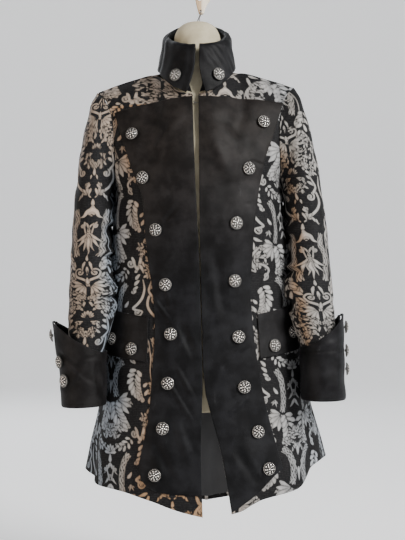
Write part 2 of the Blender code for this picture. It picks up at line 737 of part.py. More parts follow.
def cuff_turn_point(turn):
    """A point of the edge that the cuff turns in to, against the sleeve's end."""
    half_width, half_depth, z = CUFF_TURN
    x = CUFF_MID_X - CUFF_TURN_SHIFT + half_width * power(math.cos(turn), CUFF_POWER)
    y = CUFF_MID_Y[0] - half_depth * power(math.sin(turn), CUFF_POWER)
    return Vector((x, y, z))


def slit_turns(side, up):
    """The cuff's turns at a height, from one edge of its slit round to the other."""
    slit = CUFF_SLITS[side]
    middle = mix(slit.bottom_angle, slit.top_angle, up)
    half_opening = mix(slit.bottom_opening, slit.top_opening, up) / 2
    first, last = middle + half_opening, middle - half_opening + 2 * math.pi
    return [mix(last, first, k / CUFF_STEPS) for k in range(CUFF_STEPS + 1)]


def build_cuffs():
    for side, sign in SIDES:
        rows = [[cuff_point(side, turn, up) for turn in slit_turns(side, up)] for up in CUFF_ROWS]
        rows.append([cuff_turn_point(turn) for turn in slit_turns(side, 0.0)])
        add_cloth(f"cuff_{side}", rows, VELVET_WALL, VELVET, sign)


def collar_point(ring_of, share, turn):
    """A point of the collar: turn 0 is centre front and pi centre back, on either side."""
    x = ring_of(share, "half_width") * math.sin(turn) + ring_of(share, "shift")
    y = mix(ring_of(share, "back_y"), ring_of(share, "front_y"), (1.0 + math.cos(turn)) / 2)
    front_z, side_z, back_z = (ring_of(share, n) for n in ("front_z", "side_z", "back_z"))
    tilt = math.cos(turn)
    even = (front_z + back_z) / 2
    z = even + (front_z - back_z) / 2 * tilt + (side_z - even) * (1.0 - tilt * tilt)
    return Vector((x, y, z))


def collar_rows(rings, shares):
    def ring_of(share, name):
        return read(rings, "share", share, name)

    rows = []
    for share in shares:
        half_width = ring_of(share, "half_width")
        first = -math.asin(ring_of(share, "edge_right") / half_width)
        last = math.asin(ring_of(share, "edge_left") / half_width)
        turns = [mix(last, first + 2 * math.pi, k / COLLAR_STEPS) for k in range(COLLAR_STEPS + 1)]
        rows.append([collar_point(ring_of, share, turn) for turn in turns])
    return [list(reversed(row)) for row in rows]


def build_collar():
    stand = collar_rows(STAND_RINGS, (0.92, 0.60, 0.25, 0.0))
    add_cloth("collar_stand", stand, VELVET_WALL, VELVET)
    fall = collar_rows(FALL_RINGS, (0.0, 0.10, 0.45, 0.78, 1.0))
    add_cloth("collar_fall", fall, VELVET_WALL, VELVET)


# ---------------------------------------------------------------- buttons and fastening
def button_mesh():
    """A domed shank button standing on z = 0, as a turned profile."""
    shape = bmesh.new()
    points = [shape.verts.new((x, 0.0, z)) for x, z in BUTTON_PROFILE]
    edges = [shape.edges.new(pair) for pair in zip(points, points[1:])]
    bmesh.ops.spin(
        shape,
        geom=points + edges,
        axis=(0, 0, 1),
        cent=(0, 0, 0),
        steps=BUTTON_STEPS,
        angle=2 * math.pi,
        use_merge=True,
    )
    bmesh.ops.remove_doubles(shape, verts=shape.verts, dist=0.00001)
    bmesh.ops.recalc_face_normals(shape, faces=shape.faces)
    mesh = bpy.data.meshes.new("button")
    shape.to_mesh(mesh)
    shape.free()
    smooth(mesh)
    return mesh


def add_button(name, mesh, place, normal, sign):
    place = Vector((sign * place.x, place.y, place.z))
    normal = Vector((sign * normal.x, normal.y, normal.z))
    button = add_object(name, mesh, SILVER, COAT)
    turned = normal.to_track_quat("Z", "Y").to_matrix().to_4x4()
    button.matrix_local = Matrix.Translation(place + normal * SEAM_GAP) @ turned


def sheet_normal(place_of, a, b, step=0.01):
    """Normal of a surface given by a function of two numbers."""
    across = place_of(a + step, b) - place_of(a - step, b)
    down = place_of(a, b + step) - place_of(a, b - step)
    return across.cross(down).normalized()


def build_buttons():
    mesh = button_mesh()
    on_velvet = ON_DAMASK + VELVET_WALL
    for side, sign in SIDES:
        for group, rows, lift in (
            ("panel", FRONT_BUTTONS, on_velvet + 2 * LAY_GAP),
            ("flap", FLAP_BUTTONS, on_velvet + LAY_GAP + FLAP_LIFT),
        ):
            for number, row in enumerate(rows, 1):
                x, z = getattr(row, side + "_x"), getattr(row, side + "_z")
                across, along = locate(side, x, z)
                place = coat_out(side, across, along, lift)
                normal = coat_normal(side, across, along)
                add_button(f"button_{group}_{side}_{number}", mesh, place, normal, sign)

        for number, up in enumerate(CUFF_BUTTON_HEIGHTS, 1):
            turn = CUFF_BUTTON_ANGLES[side][number - 1]
            normal = -sheet_normal(lambda a, b: cuff_point(side, a, b), turn, up, 0.02)
            place = cuff_point(side, turn, up) + normal * (VELVET_WALL + 2 * LAY_GAP)
            add_button(f"button_cuff_{side}_{number}", mesh, place, normal, sign)

        def fall(share, name):
            return read(FALL_RINGS, "share", share, name)

        reach = COLLAR_BUTTON_X / fall(COLLAR_BUTTON_DOWN, "half_width")
        turn = sign * math.asin(reach)
        normal = sheet_normal(
            lambda a, b: collar_point(fall, b, a), turn, COLLAR_BUTTON_DOWN, 0.03
        )
        normal = -normal if normal.y > 0 else normal
        place = collar_point(fall, COLLAR_BUTTON_DOWN, turn)
        place += normal * (VELVET_WALL + 2 * LAY_GAP)
        add_button(f"button_collar_{side}", mesh, place, normal, 1.0)


def add_wire(name, points, radius, finish, parent=None, smooth_steps=3):
    """A round wire along a smooth curve through its points."""
    route = []
    last = len(points) - 1
    for i in range(last):
        before = points[max(i - 1, 0)]
        here, after = points[i], points[i + 1]
        beyond = points[min(i + 2, last)]
        for k in range(smooth_steps):
            s = k / smooth_steps
            route.append(
                0.5
                * (
                    2 * here
                    + (after - before) * s
                    + (2 * before - 5 * here + 4 * after - beyond) * s * s
                    + (3 * here - before - 3 * after + beyond) * s**3
                )
            )
    route.append(points[last])
    curve = bpy.data.curves.new(name, "CURVE")
    curve.dimensions = "3D"
    curve.bevel_depth = radius
    curve.bevel_resolution = 1
    curve.use_fill_caps = True
    spline = curve.splines.new("POLY")
    spline.points.add(len(route) - 1)
    for target, point in zip(spline.points, route):
        target.co = (*point, 1.0)
    return add_object(name, curve, finish, parent)


def build_neck_fastening():
    """A hook on the wearer's left edge that reaches through an eye on the right one."""
    base = Vector((0.0, FASTENING_Y, FASTENING_Z))
    eye = [base + Vector((x, 0.0, z)) for x, z in EYE_ROUTE]
    add_wire("neck_eye", eye, FASTENING_RADIUS, STEEL, COAT)
    hook = [base + Vector((x, y, 0.0)) for x, y in CATCH_ROUTE]
    add_wire("neck_hook", hook, FASTENING_RADIUS, STEEL, COAT)


# ---------------------------------------------------------------- the form and its hook
def form_level(z, inset):
    """A level ring of the form, all round, standing in from the coat's rings."""
    ring = []
    for side, sign in (("left", 1.0), ("right", -1.0)):
        front, back = [], []
        for across in FORM_ACROSS:
            for half, start in ((front, 0.0), (back, math.pi)):
                angle = mix(start, math.pi / 2, across)
                hem = read(HEM_LINE, "around", angle / math.pi, side)
                down = (ARMPIT_Z - z) / (ARMPIT_Z - hem)
                plain_width = read(BODY_RINGS, "down", down, "half_width")
                depth_name = "front_depth" if start == 0.0 else "back_depth"
                depth = read(BODY_RINGS, "down", down, depth_name)
                x = (plain_width - inset) * power(math.sin(angle), 2.0 / ROUNDNESS)
                y = -(depth - inset) * power(math.cos(angle), 2.0 / ROUNDNESS)
                half.append(Vector((sign * x, y, z)))
        half_ring = front + list(reversed(back))[1:]
        ring += half_ring[1:] if sign > 0 else list(reversed(half_ring))[1:]
    return ring


def form_upper(rise):
    """A ring of the form above the armpit, inside the fronts, armholes and backs."""
    ring = []
    for side, sign in (("left", 1.0), ("right", -1.0)):
        front, back = [], []
        for across in FORM_ACROSS:
            reach = across * FORM_REACH
            for half, is_back in ((front, False), (back, True)):
                place = coat_out("left", reach, -rise, -FORM_INSET, is_back)
                if across == 0.0:
                    place.x = 0.0
                half.append(Vector((sign * place.x, place.y, place.z - SHOULDER_SAG * rise)))
        middle = (front[-1] + back[-1]) / 2
        middle.x += sign * FORM_SIDE_BULGE
        half_ring = front[:-1] + [middle] + list(reversed(back))[1:]
        ring += half_ring[1:] if sign > 0 else list(reversed(half_ring))[1:]
    return ring


def neck_ring(row):
    """A ring of the form's neck, with a point for each point of the rings below it."""
    turns = []
    for across in FORM_ACROSS:
        on_neck = min(across / NECK_TURN_SHARE, 1.0)
        turns.append(on_neck * NECK_TURN + across * (math.pi / 2 - NECK_TURN))
    turns += [math.pi - turn for turn in reversed(turns[:-1])]
    ring = []
    for sign in (1.0, -1.0):
        half_ring = []
        for turn in turns:
            x = sign * row.half_width * math.sin(turn) + NECK_SHIFT
            half_ring.append(Vector((x, row.mid_y - row.half_depth * math.cos(turn), row.z)))
        ring += half_ring[1:] if sign > 0 else list(reversed(half_ring))[1:]
    return ring


def build_form():
    rings = [form_level(row.z, row.inset) for row in FORM_RINGS]
    rings += [form_upper(rise) for rise in FORM_RISES]
    neck = [neck_ring(row) for row in NECK_RINGS]
    sag = Vector((0.0, 0.0, -SHOULDER_SAG))
    shoulders = [
        [low.lerp(high, share) + sag for low, high in zip(rings[-1], neck[0])]
        for share in (0.35, 0.70)
    ]
    rings += shoulders + neck
    shape = bmesh.new()
    grid = [[shape.verts.new(point) for point in ring] for ring in rings]
    wide = len(grid[0])
    for lower, upper in zip(grid, grid[1:]):
        for j in range(wide):
            k = (j + 1) % wide
            shape.faces.new((lower[j], lower[k], upper[k], upper[j]))
    for ring, z_move in ((grid[0], 0.0), (grid[-1], 0.0008)):
        centre = sum((v.co for v in ring), Vector()) / wide
        centre.z += z_move
        hub = shape.verts.new(centre)
        for j in range(wide):
            shape.faces.new((ring[j], hub, ring[(j + 1) % wide]))
    bmesh.ops.recalc_face_normals(shape, faces=shape.faces)
    mesh = bpy.data.meshes.new("dress_form")
    shape.to_mesh(mesh)
    shape.free()
    smooth(mesh)
    form = add_object("dress_form", mesh, FORM_CREAM, COAT)
    for number, foot in enumerate(WIRE_FEET, 1):
        tool = cylinder(f"wire_hole_{number}", WIRE_HOLE_RADIUS, 2 * WIRE_HOLE_DEPTH)
        tool.location = foot + Vector((0.0, 0.0, 0.001))
        cut(form, tool)


def cylinder(name, radius, length, steps=12):
    """A cutter: a round bar along Z."""
    shape = bmesh.new()
    bmesh.ops.create_cone(
        shape, cap_ends=True, segments=steps, radius1=radius, radius2=radius, depth=length
    )
    mesh = bpy.data.meshes.new(name)
    shape.to_mesh(mesh)
    shape.free()
    tool = add_object(name, mesh, WOOD, None, CUTTERS)
    tool.hide_render = True
    tool.display_type = "WIRE"
    return tool


def cut(target, tool):
    hole = target.modifiers.new(tool.name, "BOOLEAN")
    hole.operation = "DIFFERENCE"
    hole.object = tool
    hole.solver = "EXACT"


def build_wooden_hook():
    shape = bmesh.new()
    right = [(row.mid_x + row.half_width, row.z) for row in HOOK_OUTLINE]
    left = [(row.mid_x - row.half_width, row.z) for row in reversed(HOOK_OUTLINE)]
    tip = HOOK_OUTLINE[-1]
    rounded = [
        (tip.mid_x + tip.half_width * math.cos(a), tip.z - HOOK_TIP_ROUND * math.sin(a))
        for a in (math.radians(45), math.radians(90), math.radians(135))
    ]
    outline = right + rounded + left
    half = HOOK_THICKNESS / 2
    verts = [shape.verts.new((x, -half, z)) for x, z in outline]
    face = shape.faces.new(verts)
    pushed = bmesh.ops.extrude_face_region(shape, geom=[face])
    moved = [v for v in pushed["geom"] if isinstance(v, bmesh.types.BMVert)]
    bmesh.ops.translate(shape, verts=moved, vec=(0.0, HOOK_THICKNESS, 0.0))
    bmesh.ops.recalc_face_normals(shape, faces=shape.faces)
    mesh = bpy.data.meshes.new("wooden_hook")
    shape.to_mesh(mesh)
    shape.free()
    hook = add_object("wooden_hook", mesh, WOOD)
    edge = hook.modifiers.new("rounded", "BEVEL")
    edge.width = HOOK_BEVEL
    edge.segments = 1
    edge.limit_method = "ANGLE"
    edge.angle_limit = math.radians(50)
    for name, place, radius in (
        ("hook_eye", HOOK_EYE, HOOK_EYE_RADIUS),
        ("screw_hole", SCREW_HOLE, SCREW_HOLE_RADIUS),
    ):
        tool = cylinder(name, radius, 3 * HOOK_THICKNESS, HOOK_HOLE_STEPS)
        tool.location = place
        tool.rotation_euler = (math.pi / 2, 0.0, 0.0)
        cut(hook, tool)


def build_wire():
    """A loop from the form's neck, up through the hook's eye and down again behind it."""
    straight = Vector((0.0, 0.0, 0.010))
    front = HOOK_EYE + Vector((0.0, -HOOK_THICKNESS / 2 - WIRE_CLEAR, 0.0))
    back = HOOK_EYE + Vector((0.0, HOOK_THICKNESS / 2 + WIRE_CLEAR, 0.0))
    below = Vector((0.0, 0.0, -0.004))
    inside = Vector((0.0, 0.0, HOOK_EYE_RADIUS - 2 * WIRE_RADIUS))
    first, second = WIRE_FEET
    points = [
        first,
        first + straight,
        first.lerp(front, 0.55) + WIRE_BOW,
        front + below,
        front + Vector((0.0, 0.0006, -0.0008)),
        HOOK_EYE.lerp(front, 0.5) + inside,
        HOOK_EYE.lerp(back, 0.5) + inside,
        back + Vector((0.0, -0.0006, -0.0008)),
        back + below,
        second.lerp(back, 0.55) + 3 * WIRE_BOW,
        second + straight,
        second,
    ]
    add_wire("hanging_wire", points, WIRE_RADIUS, STEEL)


clear_scene()
PARTS = collection("frock_coat")
CUTTERS = collection("cutters")
COAT = bpy.data.objects.new("coat_hang", None)
PARTS.objects.link(COAT)
COAT.location = (HANG_X, 0.0, 0.0)
COAT.rotation_euler = (0.0, HANG_TILT, 0.0)

DAMASK = material("damask", (0.16, 0.15, 0.14), 0.55)
VELVET = material("black_velvet", (0.012, 0.012, 0.013), 0.85)
SATIN = material("black_satin", (0.02, 0.02, 0.022), 0.35)
SILVER = material("antique_silver", (0.45, 0.43, 0.40), 0.35, 1.0)
STEEL = material("steel_wire", (0.30, 0.29, 0.28), 0.40, 1.0)
FORM_CREAM = material("form_cream", (0.50, 0.42, 0.27), 0.75)
WOOD = material("pale_wood", (0.66, 0.52, 0.36), 0.60)

build_fronts()
build_backs()
build_pocket_flaps()
build_sleeves()
build_cuffs()
build_collar()
build_buttons()
build_neck_fastening()
build_form()
build_wooden_hook()
build_wire()
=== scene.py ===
import json
import math
from collections import namedtuple

import bpy
import numpy as np
from mathutils import Matrix, Vector

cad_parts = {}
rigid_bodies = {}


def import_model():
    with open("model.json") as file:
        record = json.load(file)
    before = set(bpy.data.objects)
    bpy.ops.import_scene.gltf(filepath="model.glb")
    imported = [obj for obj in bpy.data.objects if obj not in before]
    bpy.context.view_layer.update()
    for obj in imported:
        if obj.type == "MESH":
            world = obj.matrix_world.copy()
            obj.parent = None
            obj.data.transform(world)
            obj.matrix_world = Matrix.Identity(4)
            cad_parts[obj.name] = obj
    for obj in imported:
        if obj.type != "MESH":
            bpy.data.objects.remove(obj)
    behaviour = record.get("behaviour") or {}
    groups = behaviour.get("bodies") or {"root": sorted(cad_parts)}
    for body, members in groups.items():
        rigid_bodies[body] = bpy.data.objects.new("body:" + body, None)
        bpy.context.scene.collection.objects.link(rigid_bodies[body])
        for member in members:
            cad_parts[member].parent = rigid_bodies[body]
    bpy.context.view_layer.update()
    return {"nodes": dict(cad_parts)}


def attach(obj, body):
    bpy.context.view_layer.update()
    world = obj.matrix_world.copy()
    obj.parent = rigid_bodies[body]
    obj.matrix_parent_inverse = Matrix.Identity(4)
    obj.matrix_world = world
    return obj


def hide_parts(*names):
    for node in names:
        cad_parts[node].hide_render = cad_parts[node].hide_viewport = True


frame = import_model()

for thing in list(bpy.data.objects):
    if thing.type in ("CAMERA", "LIGHT") or thing.name == "Cube":
        bpy.data.objects.remove(thing)


def rows_of(kind, *rows):
    """A table: rows of numbers under the names of a named tuple's columns."""
    return [kind(*row) for row in rows]


# ---------------------------------------------------------------- driving sizes
HANG_TILT = math.radians(-1.5)      # the coat and its form hang a little askew
HANG_X = -0.017                     # where the coat's own axis passes the origin's height

DAMASK_WALL = 0.0018
VELVET_WALL = 0.0016
SEAM_GAP = 0.0003                   # between pieces sewn edge to edge
LAY_GAP = 0.0004                    # under a piece laid on another
ON_DAMASK = DAMASK_WALL + 2 * LAY_GAP    # lift of a piece laid on a front
SHOULDER_ALONG = -0.998             # a panel's top row, just short of the shoulder seam

ARMPIT_Z = -0.425
SHOULDER_TIP = Vector((0.198, 0.004, -0.226))
NECK_SIDE = Vector((0.069, -0.006, -0.192))
NECK_SHARE = 0.40                   # share of the top edge that is neckline
ROUNDNESS = 2.25                    # 2 is an ellipse, more is squarer

VELVET_COLUMNS = 6                  # columns of a front under its velvet panel
OUTER_COLUMNS = 14                  # and from there to the side seam
VELVET_ROWS = 36
BACK_COLUMNS = 18
BACK_UPPER_ROWS = 14
BACK_SKIRT_ROWS = 24

BodyRing = namedtuple("BodyRing", "down half_width front_depth back_depth")
BODY_RINGS = rows_of(
    BodyRing,
    (0.00, 0.166, 0.116, 0.104),    # armpit
    (0.10, 0.172, 0.124, 0.107),    # bust
    (0.19, 0.178, 0.119, 0.102),
    (0.30, 0.184, 0.112, 0.098),    # waist
    (0.42, 0.190, 0.116, 0.108),
    (0.57, 0.199, 0.126, 0.128),    # hip
    (0.79, 0.210, 0.137, 0.146),
    (0.91, 0.224, 0.144, 0.158),
    (1.00, 0.233, 0.147, 0.164),    # hem
)

# Height of the hem: around is 0 at centre front, 0.5 at the side seam, 1 at centre back.
HemPoint = namedtuple("HemPoint", "around right left")
HEM_LINE = rows_of(
    HemPoint,
    (0.00, -1.066, -1.066),
    (0.07, -1.050, -1.058),
    (0.13, -1.033, -1.039),
    (0.26, -1.016, -1.020),
    (0.34, -1.009, -0.993),
    (0.42, -0.999, -0.979),
    (0.50, -0.990, -0.974),
    (0.62, -1.004, -0.996),
    (0.80, -1.060, -1.060),
    (1.00, -1.096, -1.096),
)

# Soft folds of the skirt: they start at `start`, and are `depth` deep at the hem.
SkirtFold = namedtuple("SkirtFold", "around width start depth")
SKIRT_FOLDS = {
    "right": rows_of(
        SkirtFold,
        (0.12, 0.040, 0.62, 0.004),
        (0.23, 0.045, 0.58, -0.005),
        (0.34, 0.040, 0.66, 0.006),
        (0.42, 0.030, 0.70, -0.006),
        (0.51, 0.050, 0.60, 0.011),
        (0.63, 0.045, 0.52, -0.008),
        (0.76, 0.050, 0.44, 0.009),
        (0.89, 0.045, 0.48, -0.010),
        (1.00, 0.045, 0.46, 0.009),
    ),
    "left": rows_of(
        SkirtFold,
        (0.14, 0.040, 0.55, -0.004),
        (0.25, 0.045, 0.62, 0.006),
        (0.36, 0.035, 0.64, -0.006),
        (0.49, 0.050, 0.58, 0.011),
        (0.60, 0.040, 0.55, -0.007),
        (0.71, 0.050, 0.50, 0.008),
        (0.86, 0.050, 0.44, -0.011),
        (1.00, 0.045, 0.46, 0.009),
    ),
}

# Distance of each front edge from the coat's axis, by height.
FrontEdge = namedtuple("FrontEdge", "z right left")
FRONT_EDGES = rows_of(
    FrontEdge,
    (-1.070, 0.0075, 0.0495),
    (-1.000, 0.0080, 0.0400),
    (-0.940, 0.0075, 0.0300),
    (-0.865, 0.0040, 0.0120),
    (-0.820, 0.0016, 0.0032),
    (-0.770, 0.0010, 0.0010),
    (-0.600, 0.0010, 0.0010),
    (-0.545, 0.0018, 0.0010),
    (-0.450, 0.0042, 0.0022),
    (-0.360, 0.0060, 0.0042),
    (-0.246, 0.0062, 0.0056),
)

# Front and back edges of the armhole, from the armpit up to the shoulder tip.
ArmholePoint = namedtuple("ArmholePoint", "rise x front_y back_y z")
ARMHOLE = rows_of(
    ArmholePoint,
    (0.00, 0.1660, 0.000, 0.000, -0.425),
    (0.18, 0.1635, -0.038, 0.038, -0.400),
    (0.42, 0.1615, -0.058, 0.057, -0.348),
    (0.66, 0.1660, -0.050, 0.052, -0.290),
    (0.86, 0.1830, -0.024, 0.028, -0.243),
    (1.00, 0.1980, 0.004, 0.004, -0.226),
)

CentreLine = namedtuple("CentreLine", "rise front_y front_z back_y back_z")
CENTRE_LINES = rows_of(
    CentreLine,
    (0.00, -0.116, -0.425, 0.104, -0.425),
    (0.30, -0.117, -0.371, 0.107, -0.352),
    (0.60, -0.109, -0.317, 0.099, -0.279),
    (0.82, -0.098, -0.278, 0.082, -0.226),
    (1.00, -0.086, -0.246, 0.056, -0.186),
)

# Sleeve rings: the outer and inner ends of each, its middle in Y and its half depth.
SleeveRing = namedtuple("SleeveRing", "outer_x outer_z inner_x inner_z mid_y half_depth")
SLEEVE_RINGS = rows_of(
    SleeveRing,
    (0.2080, -0.243, 0.1730, -0.436, 0.000, 0.0630),
    (0.2180, -0.275, 0.1745, -0.444, -0.001, 0.0665),
    (0.2275, -0.312, 0.1757, -0.453, -0.003, 0.0680),
    (0.2370, -0.362, 0.1770, -0.466, -0.007, 0.0675),
    (0.2465, -0.430, 0.1785, -0.490, -0.014, 0.0650),
    (0.2535, -0.505, 0.1810, -0.525, -0.026, 0.0620),
    (0.2575, -0.580, 0.1855, -0.585, -0.042, 0.0580),
    (0.2600, -0.650, 0.1895, -0.650, -0.062, 0.0530),
    (0.2610, -0.720, 0.1940, -0.720, -0.080, 0.0495),
    (0.2620, -0.785, 0.1975, -0.785, -0.088, 0.0480),
    (0.2625, -0.838, 0.1990, -0.838, -0.091, 0.0470),
)
SLEEVE_SQUARENESS = 2.3
SLEEVE_CLEAR = (0.7, 2.2)           # walls between sleeve and body at shoulder tip and armpit

# Cuffs: rings from the lower edge, 0, to the upper edge, 1.
CuffRing = namedtuple("CuffRing", "up right left half_depth")
CUFF_RINGS = rows_of(
    CuffRing,
    (0.00, 0.0420, 0.0420, 0.0540),
    (0.40, 0.0435, 0.0412, 0.0560),
    (0.72, 0.0450, 0.0410, 0.0580),
    (1.00, 0.0460, 0.0415, 0.0600),
)
CUFF_BOTTOM_Z = -0.848
CUFF_INNER_TOP_Z = -0.747
CUFF_POINT_RISE = 0.062             # how much higher the pointed outer corner stands
CUFF_MID_X = 0.2345
CUFF_MID_Y = (-0.091, -0.084)       # lower edge, upper edge
CUFF_POINT_FLARE = {"right": 0.011, "left": 0.0015}   # how far the pointed corner stands out
CUFF_TURN = (0.0365, 0.0512, -0.8405)   # half width, half depth and height of its turned-in edge
CUFF_TURN_SHIFT = 0.0030            # how far that edge stands towards the body
CUFF_FLARE_FROM = 0.35              # height at which that starts
CUFF_POWER = 0.9                    # 1 is an ellipse, less is squarer
CUFF_STEPS = 40
# The cuff's slit, as the angle of its upper and lower ends from the outer side to the front.
CuffSlit = namedtuple("CuffSlit", "top_angle bottom_angle top_opening bottom_opening")
CUFF_SLITS = {
    "right": CuffSlit(math.radians(-8), math.radians(20), math.radians(13), math.radians(7)),
    "left": CuffSlit(math.radians(-16), math.radians(-10), math.radians(13), math.radians(6)),
}

# Collar: rings of the stand from the neck seam up, and of the fall from the roll down.
CollarRing = namedtuple(
    "CollarRing",
    "share half_width front_y back_y front_z side_z back_z edge_right edge_left shift",
)
STAND_RINGS = rows_of(
    CollarRing,
    (0.00, 0.0685, -0.0868, 0.0567, -0.2430, -0.1880, -0.1825, 0.0080, 0.0070, 0.001),
    (0.25, 0.0672, -0.0830, 0.0600, -0.2200, -0.1700, -0.1590, 0.0150, 0.0120, 0.003),
    (0.60, 0.0635, -0.0780, 0.0605, -0.1860, -0.1450, -0.1210, 0.0060, 0.0060, 0.005),
    (0.92, 0.0605, -0.0730, 0.0600, -0.1540, -0.1235, -0.0880, 0.0045, 0.0045, 0.006),
)
FALL_RINGS = rows_of(
    CollarRing,
    (0.00, 0.0618, -0.0745, 0.0615, -0.1475, -0.1175, -0.0820, 0.0040, 0.0040, 0.006),
    (0.10, 0.0665, -0.0800, 0.0655, -0.1505, -0.1200, -0.0845, 0.0034, 0.0034, 0.006),
    (0.45, 0.0705, -0.0880, 0.0685, -0.1840, -0.1420, -0.1180, 0.0044, 0.0036, 0.005),
    (0.78, 0.0740, -0.0950, 0.0715, -0.2190, -0.1660, -0.1630, 0.0110, 0.0085, 0.004),
    (1.00, 0.0775, -0.1000, 0.0745, -0.2470, -0.1860, -0.1950, 0.0210, 0.0170, 0.003),
)
COLLAR_STEPS = 44
NECK_SHIFT = 0.006                  # the neck stands a little to the wearer's left

# Velvet front panels, in front elevation: distance of the outer edge from the axis by height.
VelvetEdge = namedtuple("VelvetEdge", "z right left")
VELVET_EDGES = rows_of(
    VelvetEdge,
    (-1.060, 0.150, 0.180),
    (-0.978, 0.130, 0.148),
    (-0.936, 0.120, 0.1375),
    (-0.870, 0.1055, 0.1215),
    (-0.774, 0.0960, 0.1050),
    (-0.694, 0.0900, 0.0980),
    (-0.635, 0.0925, 0.0955),
    (-0.582, 0.0990, 0.1000),
    (-0.522, 0.1035, 0.1050),
    (-0.452, 0.1080, 0.1150),
    (-0.383, 0.1295, 0.1300),
    (-0.330, 0.1460, 0.1500),
    (-0.262, 0.1660, 0.1740),
)
# Upper and lower ends of the velvet panel, by the share of its width from the front edge.
VelvetEnd = namedtuple("VelvetEnd", "share top_right top_left bottom_right bottom_left")
VELVET_ENDS = rows_of(
    VelvetEnd,
    (0.00, -0.2520, -0.2520, -1.0240, -1.0570),
    (0.50, -0.2600, -0.2560, -1.0190, -1.0200),
    (0.80, -0.2680, -0.2600, -1.0060, -0.9940),
    (1.00, -0.2760, -0.2640, -0.9760, -0.9800),
)

# Pocket flaps, by across on the front panel and height.
FLAP_INNER_X = {"right": (0.1015, 0.1060), "left": (0.1075, 0.1095)}    # top, bottom
FLAP_OUTER_ACROSS = 0.93            # where it ends, by the side seam
FLAP_TOP_Z = (-0.682, -0.657)       # inner end, outer end
FLAP_BOTTOM_Z = (-0.768, -0.748)
FLAP_LIFT = 0.0015                  # how far the lower edge stands off

LINING_FROM, LINING_TO = 0.55, 0.985    # stretch of the back that the lining covers, by along

# Buttons, in front elevation: distance from the axis and height.
FrontButton = namedtuple("FrontButton", "right_x right_z left_x left_z")
FRONT_BUTTONS = rows_of(
    FrontButton,
    (0.1250, -0.3230, 0.1310, -0.3050),
    (0.1045, -0.4085, 0.0980, -0.3970),
    (0.0820, -0.5115, 0.0710, -0.5030),
    (0.0670, -0.6190, 0.0655, -0.6150),
    (0.0595, -0.7150, 0.0700, -0.7240),
    (0.0670, -0.8090, 0.0780, -0.8200),
    (0.0790, -0.8950, 0.1020, -0.9070),
    (0.0955, -0.9830, 0.1210, -0.9780),
)
FLAP_BUTTONS = rows_of(
    FrontButton,
    (0.1710, -0.7240, 0.1730, -0.7200),
    (0.1340, -0.7430, 0.1380, -0.7440),
)
COLLAR_BUTTON_X = 0.040
COLLAR_BUTTON_DOWN = 0.80           # along the fall, from the roll
CUFF_BUTTON_HEIGHTS = (0.84, 0.56, 0.34)
CUFF_BUTTON_ANGLES = {
    "right": (math.radians(10), math.radians(38), math.radians(50)),
    "left": (math.radians(2), math.radians(4), math.radians(6)),
}

# The form inside the coat: how far it stands in from the cloth at each height.
FormRing = namedtuple("FormRing", "z inset")
FORM_RINGS = rows_of(
    FormRing,
    (-0.868, 0.020),
    (-0.862, 0.013),
    (-0.800, 0.011),
    (-0.720, 0.011),
    (-0.650, 0.012),
    (-0.592, 0.010),
    (-0.530, 0.008),
    (-0.470, 0.006),
)
FORM_RISES = (0.0, 0.22, 0.44, 0.62, 0.78, 0.88)
FORM_REACH = 0.955                  # how near the armhole the form comes, by across
FORM_SIDE_BULGE = 0.004
FORM_INSET = 0.006
SHOULDER_SAG = 0.004                # between the shoulders and the neck
FORM_ACROSS = (0.0, 0.14, 0.28, 0.42, 0.58, 0.74, 0.88, 1.0)
NECK_TURN = math.radians(66)        # how much of the neck the neckline's part of a ring takes
NECK_TURN_SHARE = 0.46
NeckRing = namedtuple("NeckRing", "z half_width half_depth mid_y")
NECK_RINGS = rows_of(
    NeckRing,
    (-0.196, 0.0590, 0.0560, -0.008),
    (-0.182, 0.0520, 0.0520, -0.008),
    (-0.150, 0.0478, 0.0490, -0.006),
    (-0.126, 0.0473, 0.0480, -0.005),
    (-0.112, 0.0440, 0.0450, -0.004),
    (-0.100, 0.0370, 0.0380, -0.003),
    (-0.092, 0.0260, 0.0270, -0.003),
    (-0.0885, 0.0130, 0.0140, -0.003),
)

# The two holes in the form's neck, where the hanging wire goes in.
WIRE_FEET = (Vector((-0.0088, -0.003, -0.0995)), Vector((-0.0016, -0.003, -0.0995)))
WIRE_HOLE_RADIUS = 0.0026
WIRE_HOLE_DEPTH = 0.012

SIDES = (("right", -1.0), ("left", 1.0))


# ---------------------------------------------------------------- numbers
def mix(low, high, share):
    """The number that lies a share of the way from low to high."""
    return low + (high - low) * share


def read(rows, key, at, name):
    """A column of a table at a place between its rows, on a smooth curve through them."""
    rows = sorted(rows, key=lambda row: getattr(row, key))
    places = [getattr(row, key) for row in rows]
    values = [getattr(row, name) for row in rows]
    at = min(max(at, places[0]), places[-1])
    last = len(rows) - 2
    i = next((k for k in range(last + 1) if at <= places[k + 1]), last)

    def slope(k):
        if k == 0:
            return (values[1] - values[0]) / (places[1] - places[0])
        if k == len(rows) - 1:
            return (values[k] - values[k - 1]) / (places[k] - places[k - 1])
        before = (values[k] - values[k - 1]) / (places[k] - places[k - 1])
        after = (values[k + 1] - values[k]) / (places[k + 1] - places[k])
        if before * after <= 0.0:
            return 0.0
        return 2.0 * before * after / (before + after)

    span = places[i + 1] - places[i]
    s = (at - places[i]) / span
    return (
        (2 * s**3 - 3 * s**2 + 1) * values[i]
        + (s**3 - 2 * s**2 + s) * span * slope(i)
        + (3 * s**2 - 2 * s**3) * values[i + 1]
        + (s**3 - s**2) * span * slope(i + 1)
    )


def power(value, exponent):
    """value to a power, keeping its sign."""
    return math.copysign(abs(value) ** exponent, value)


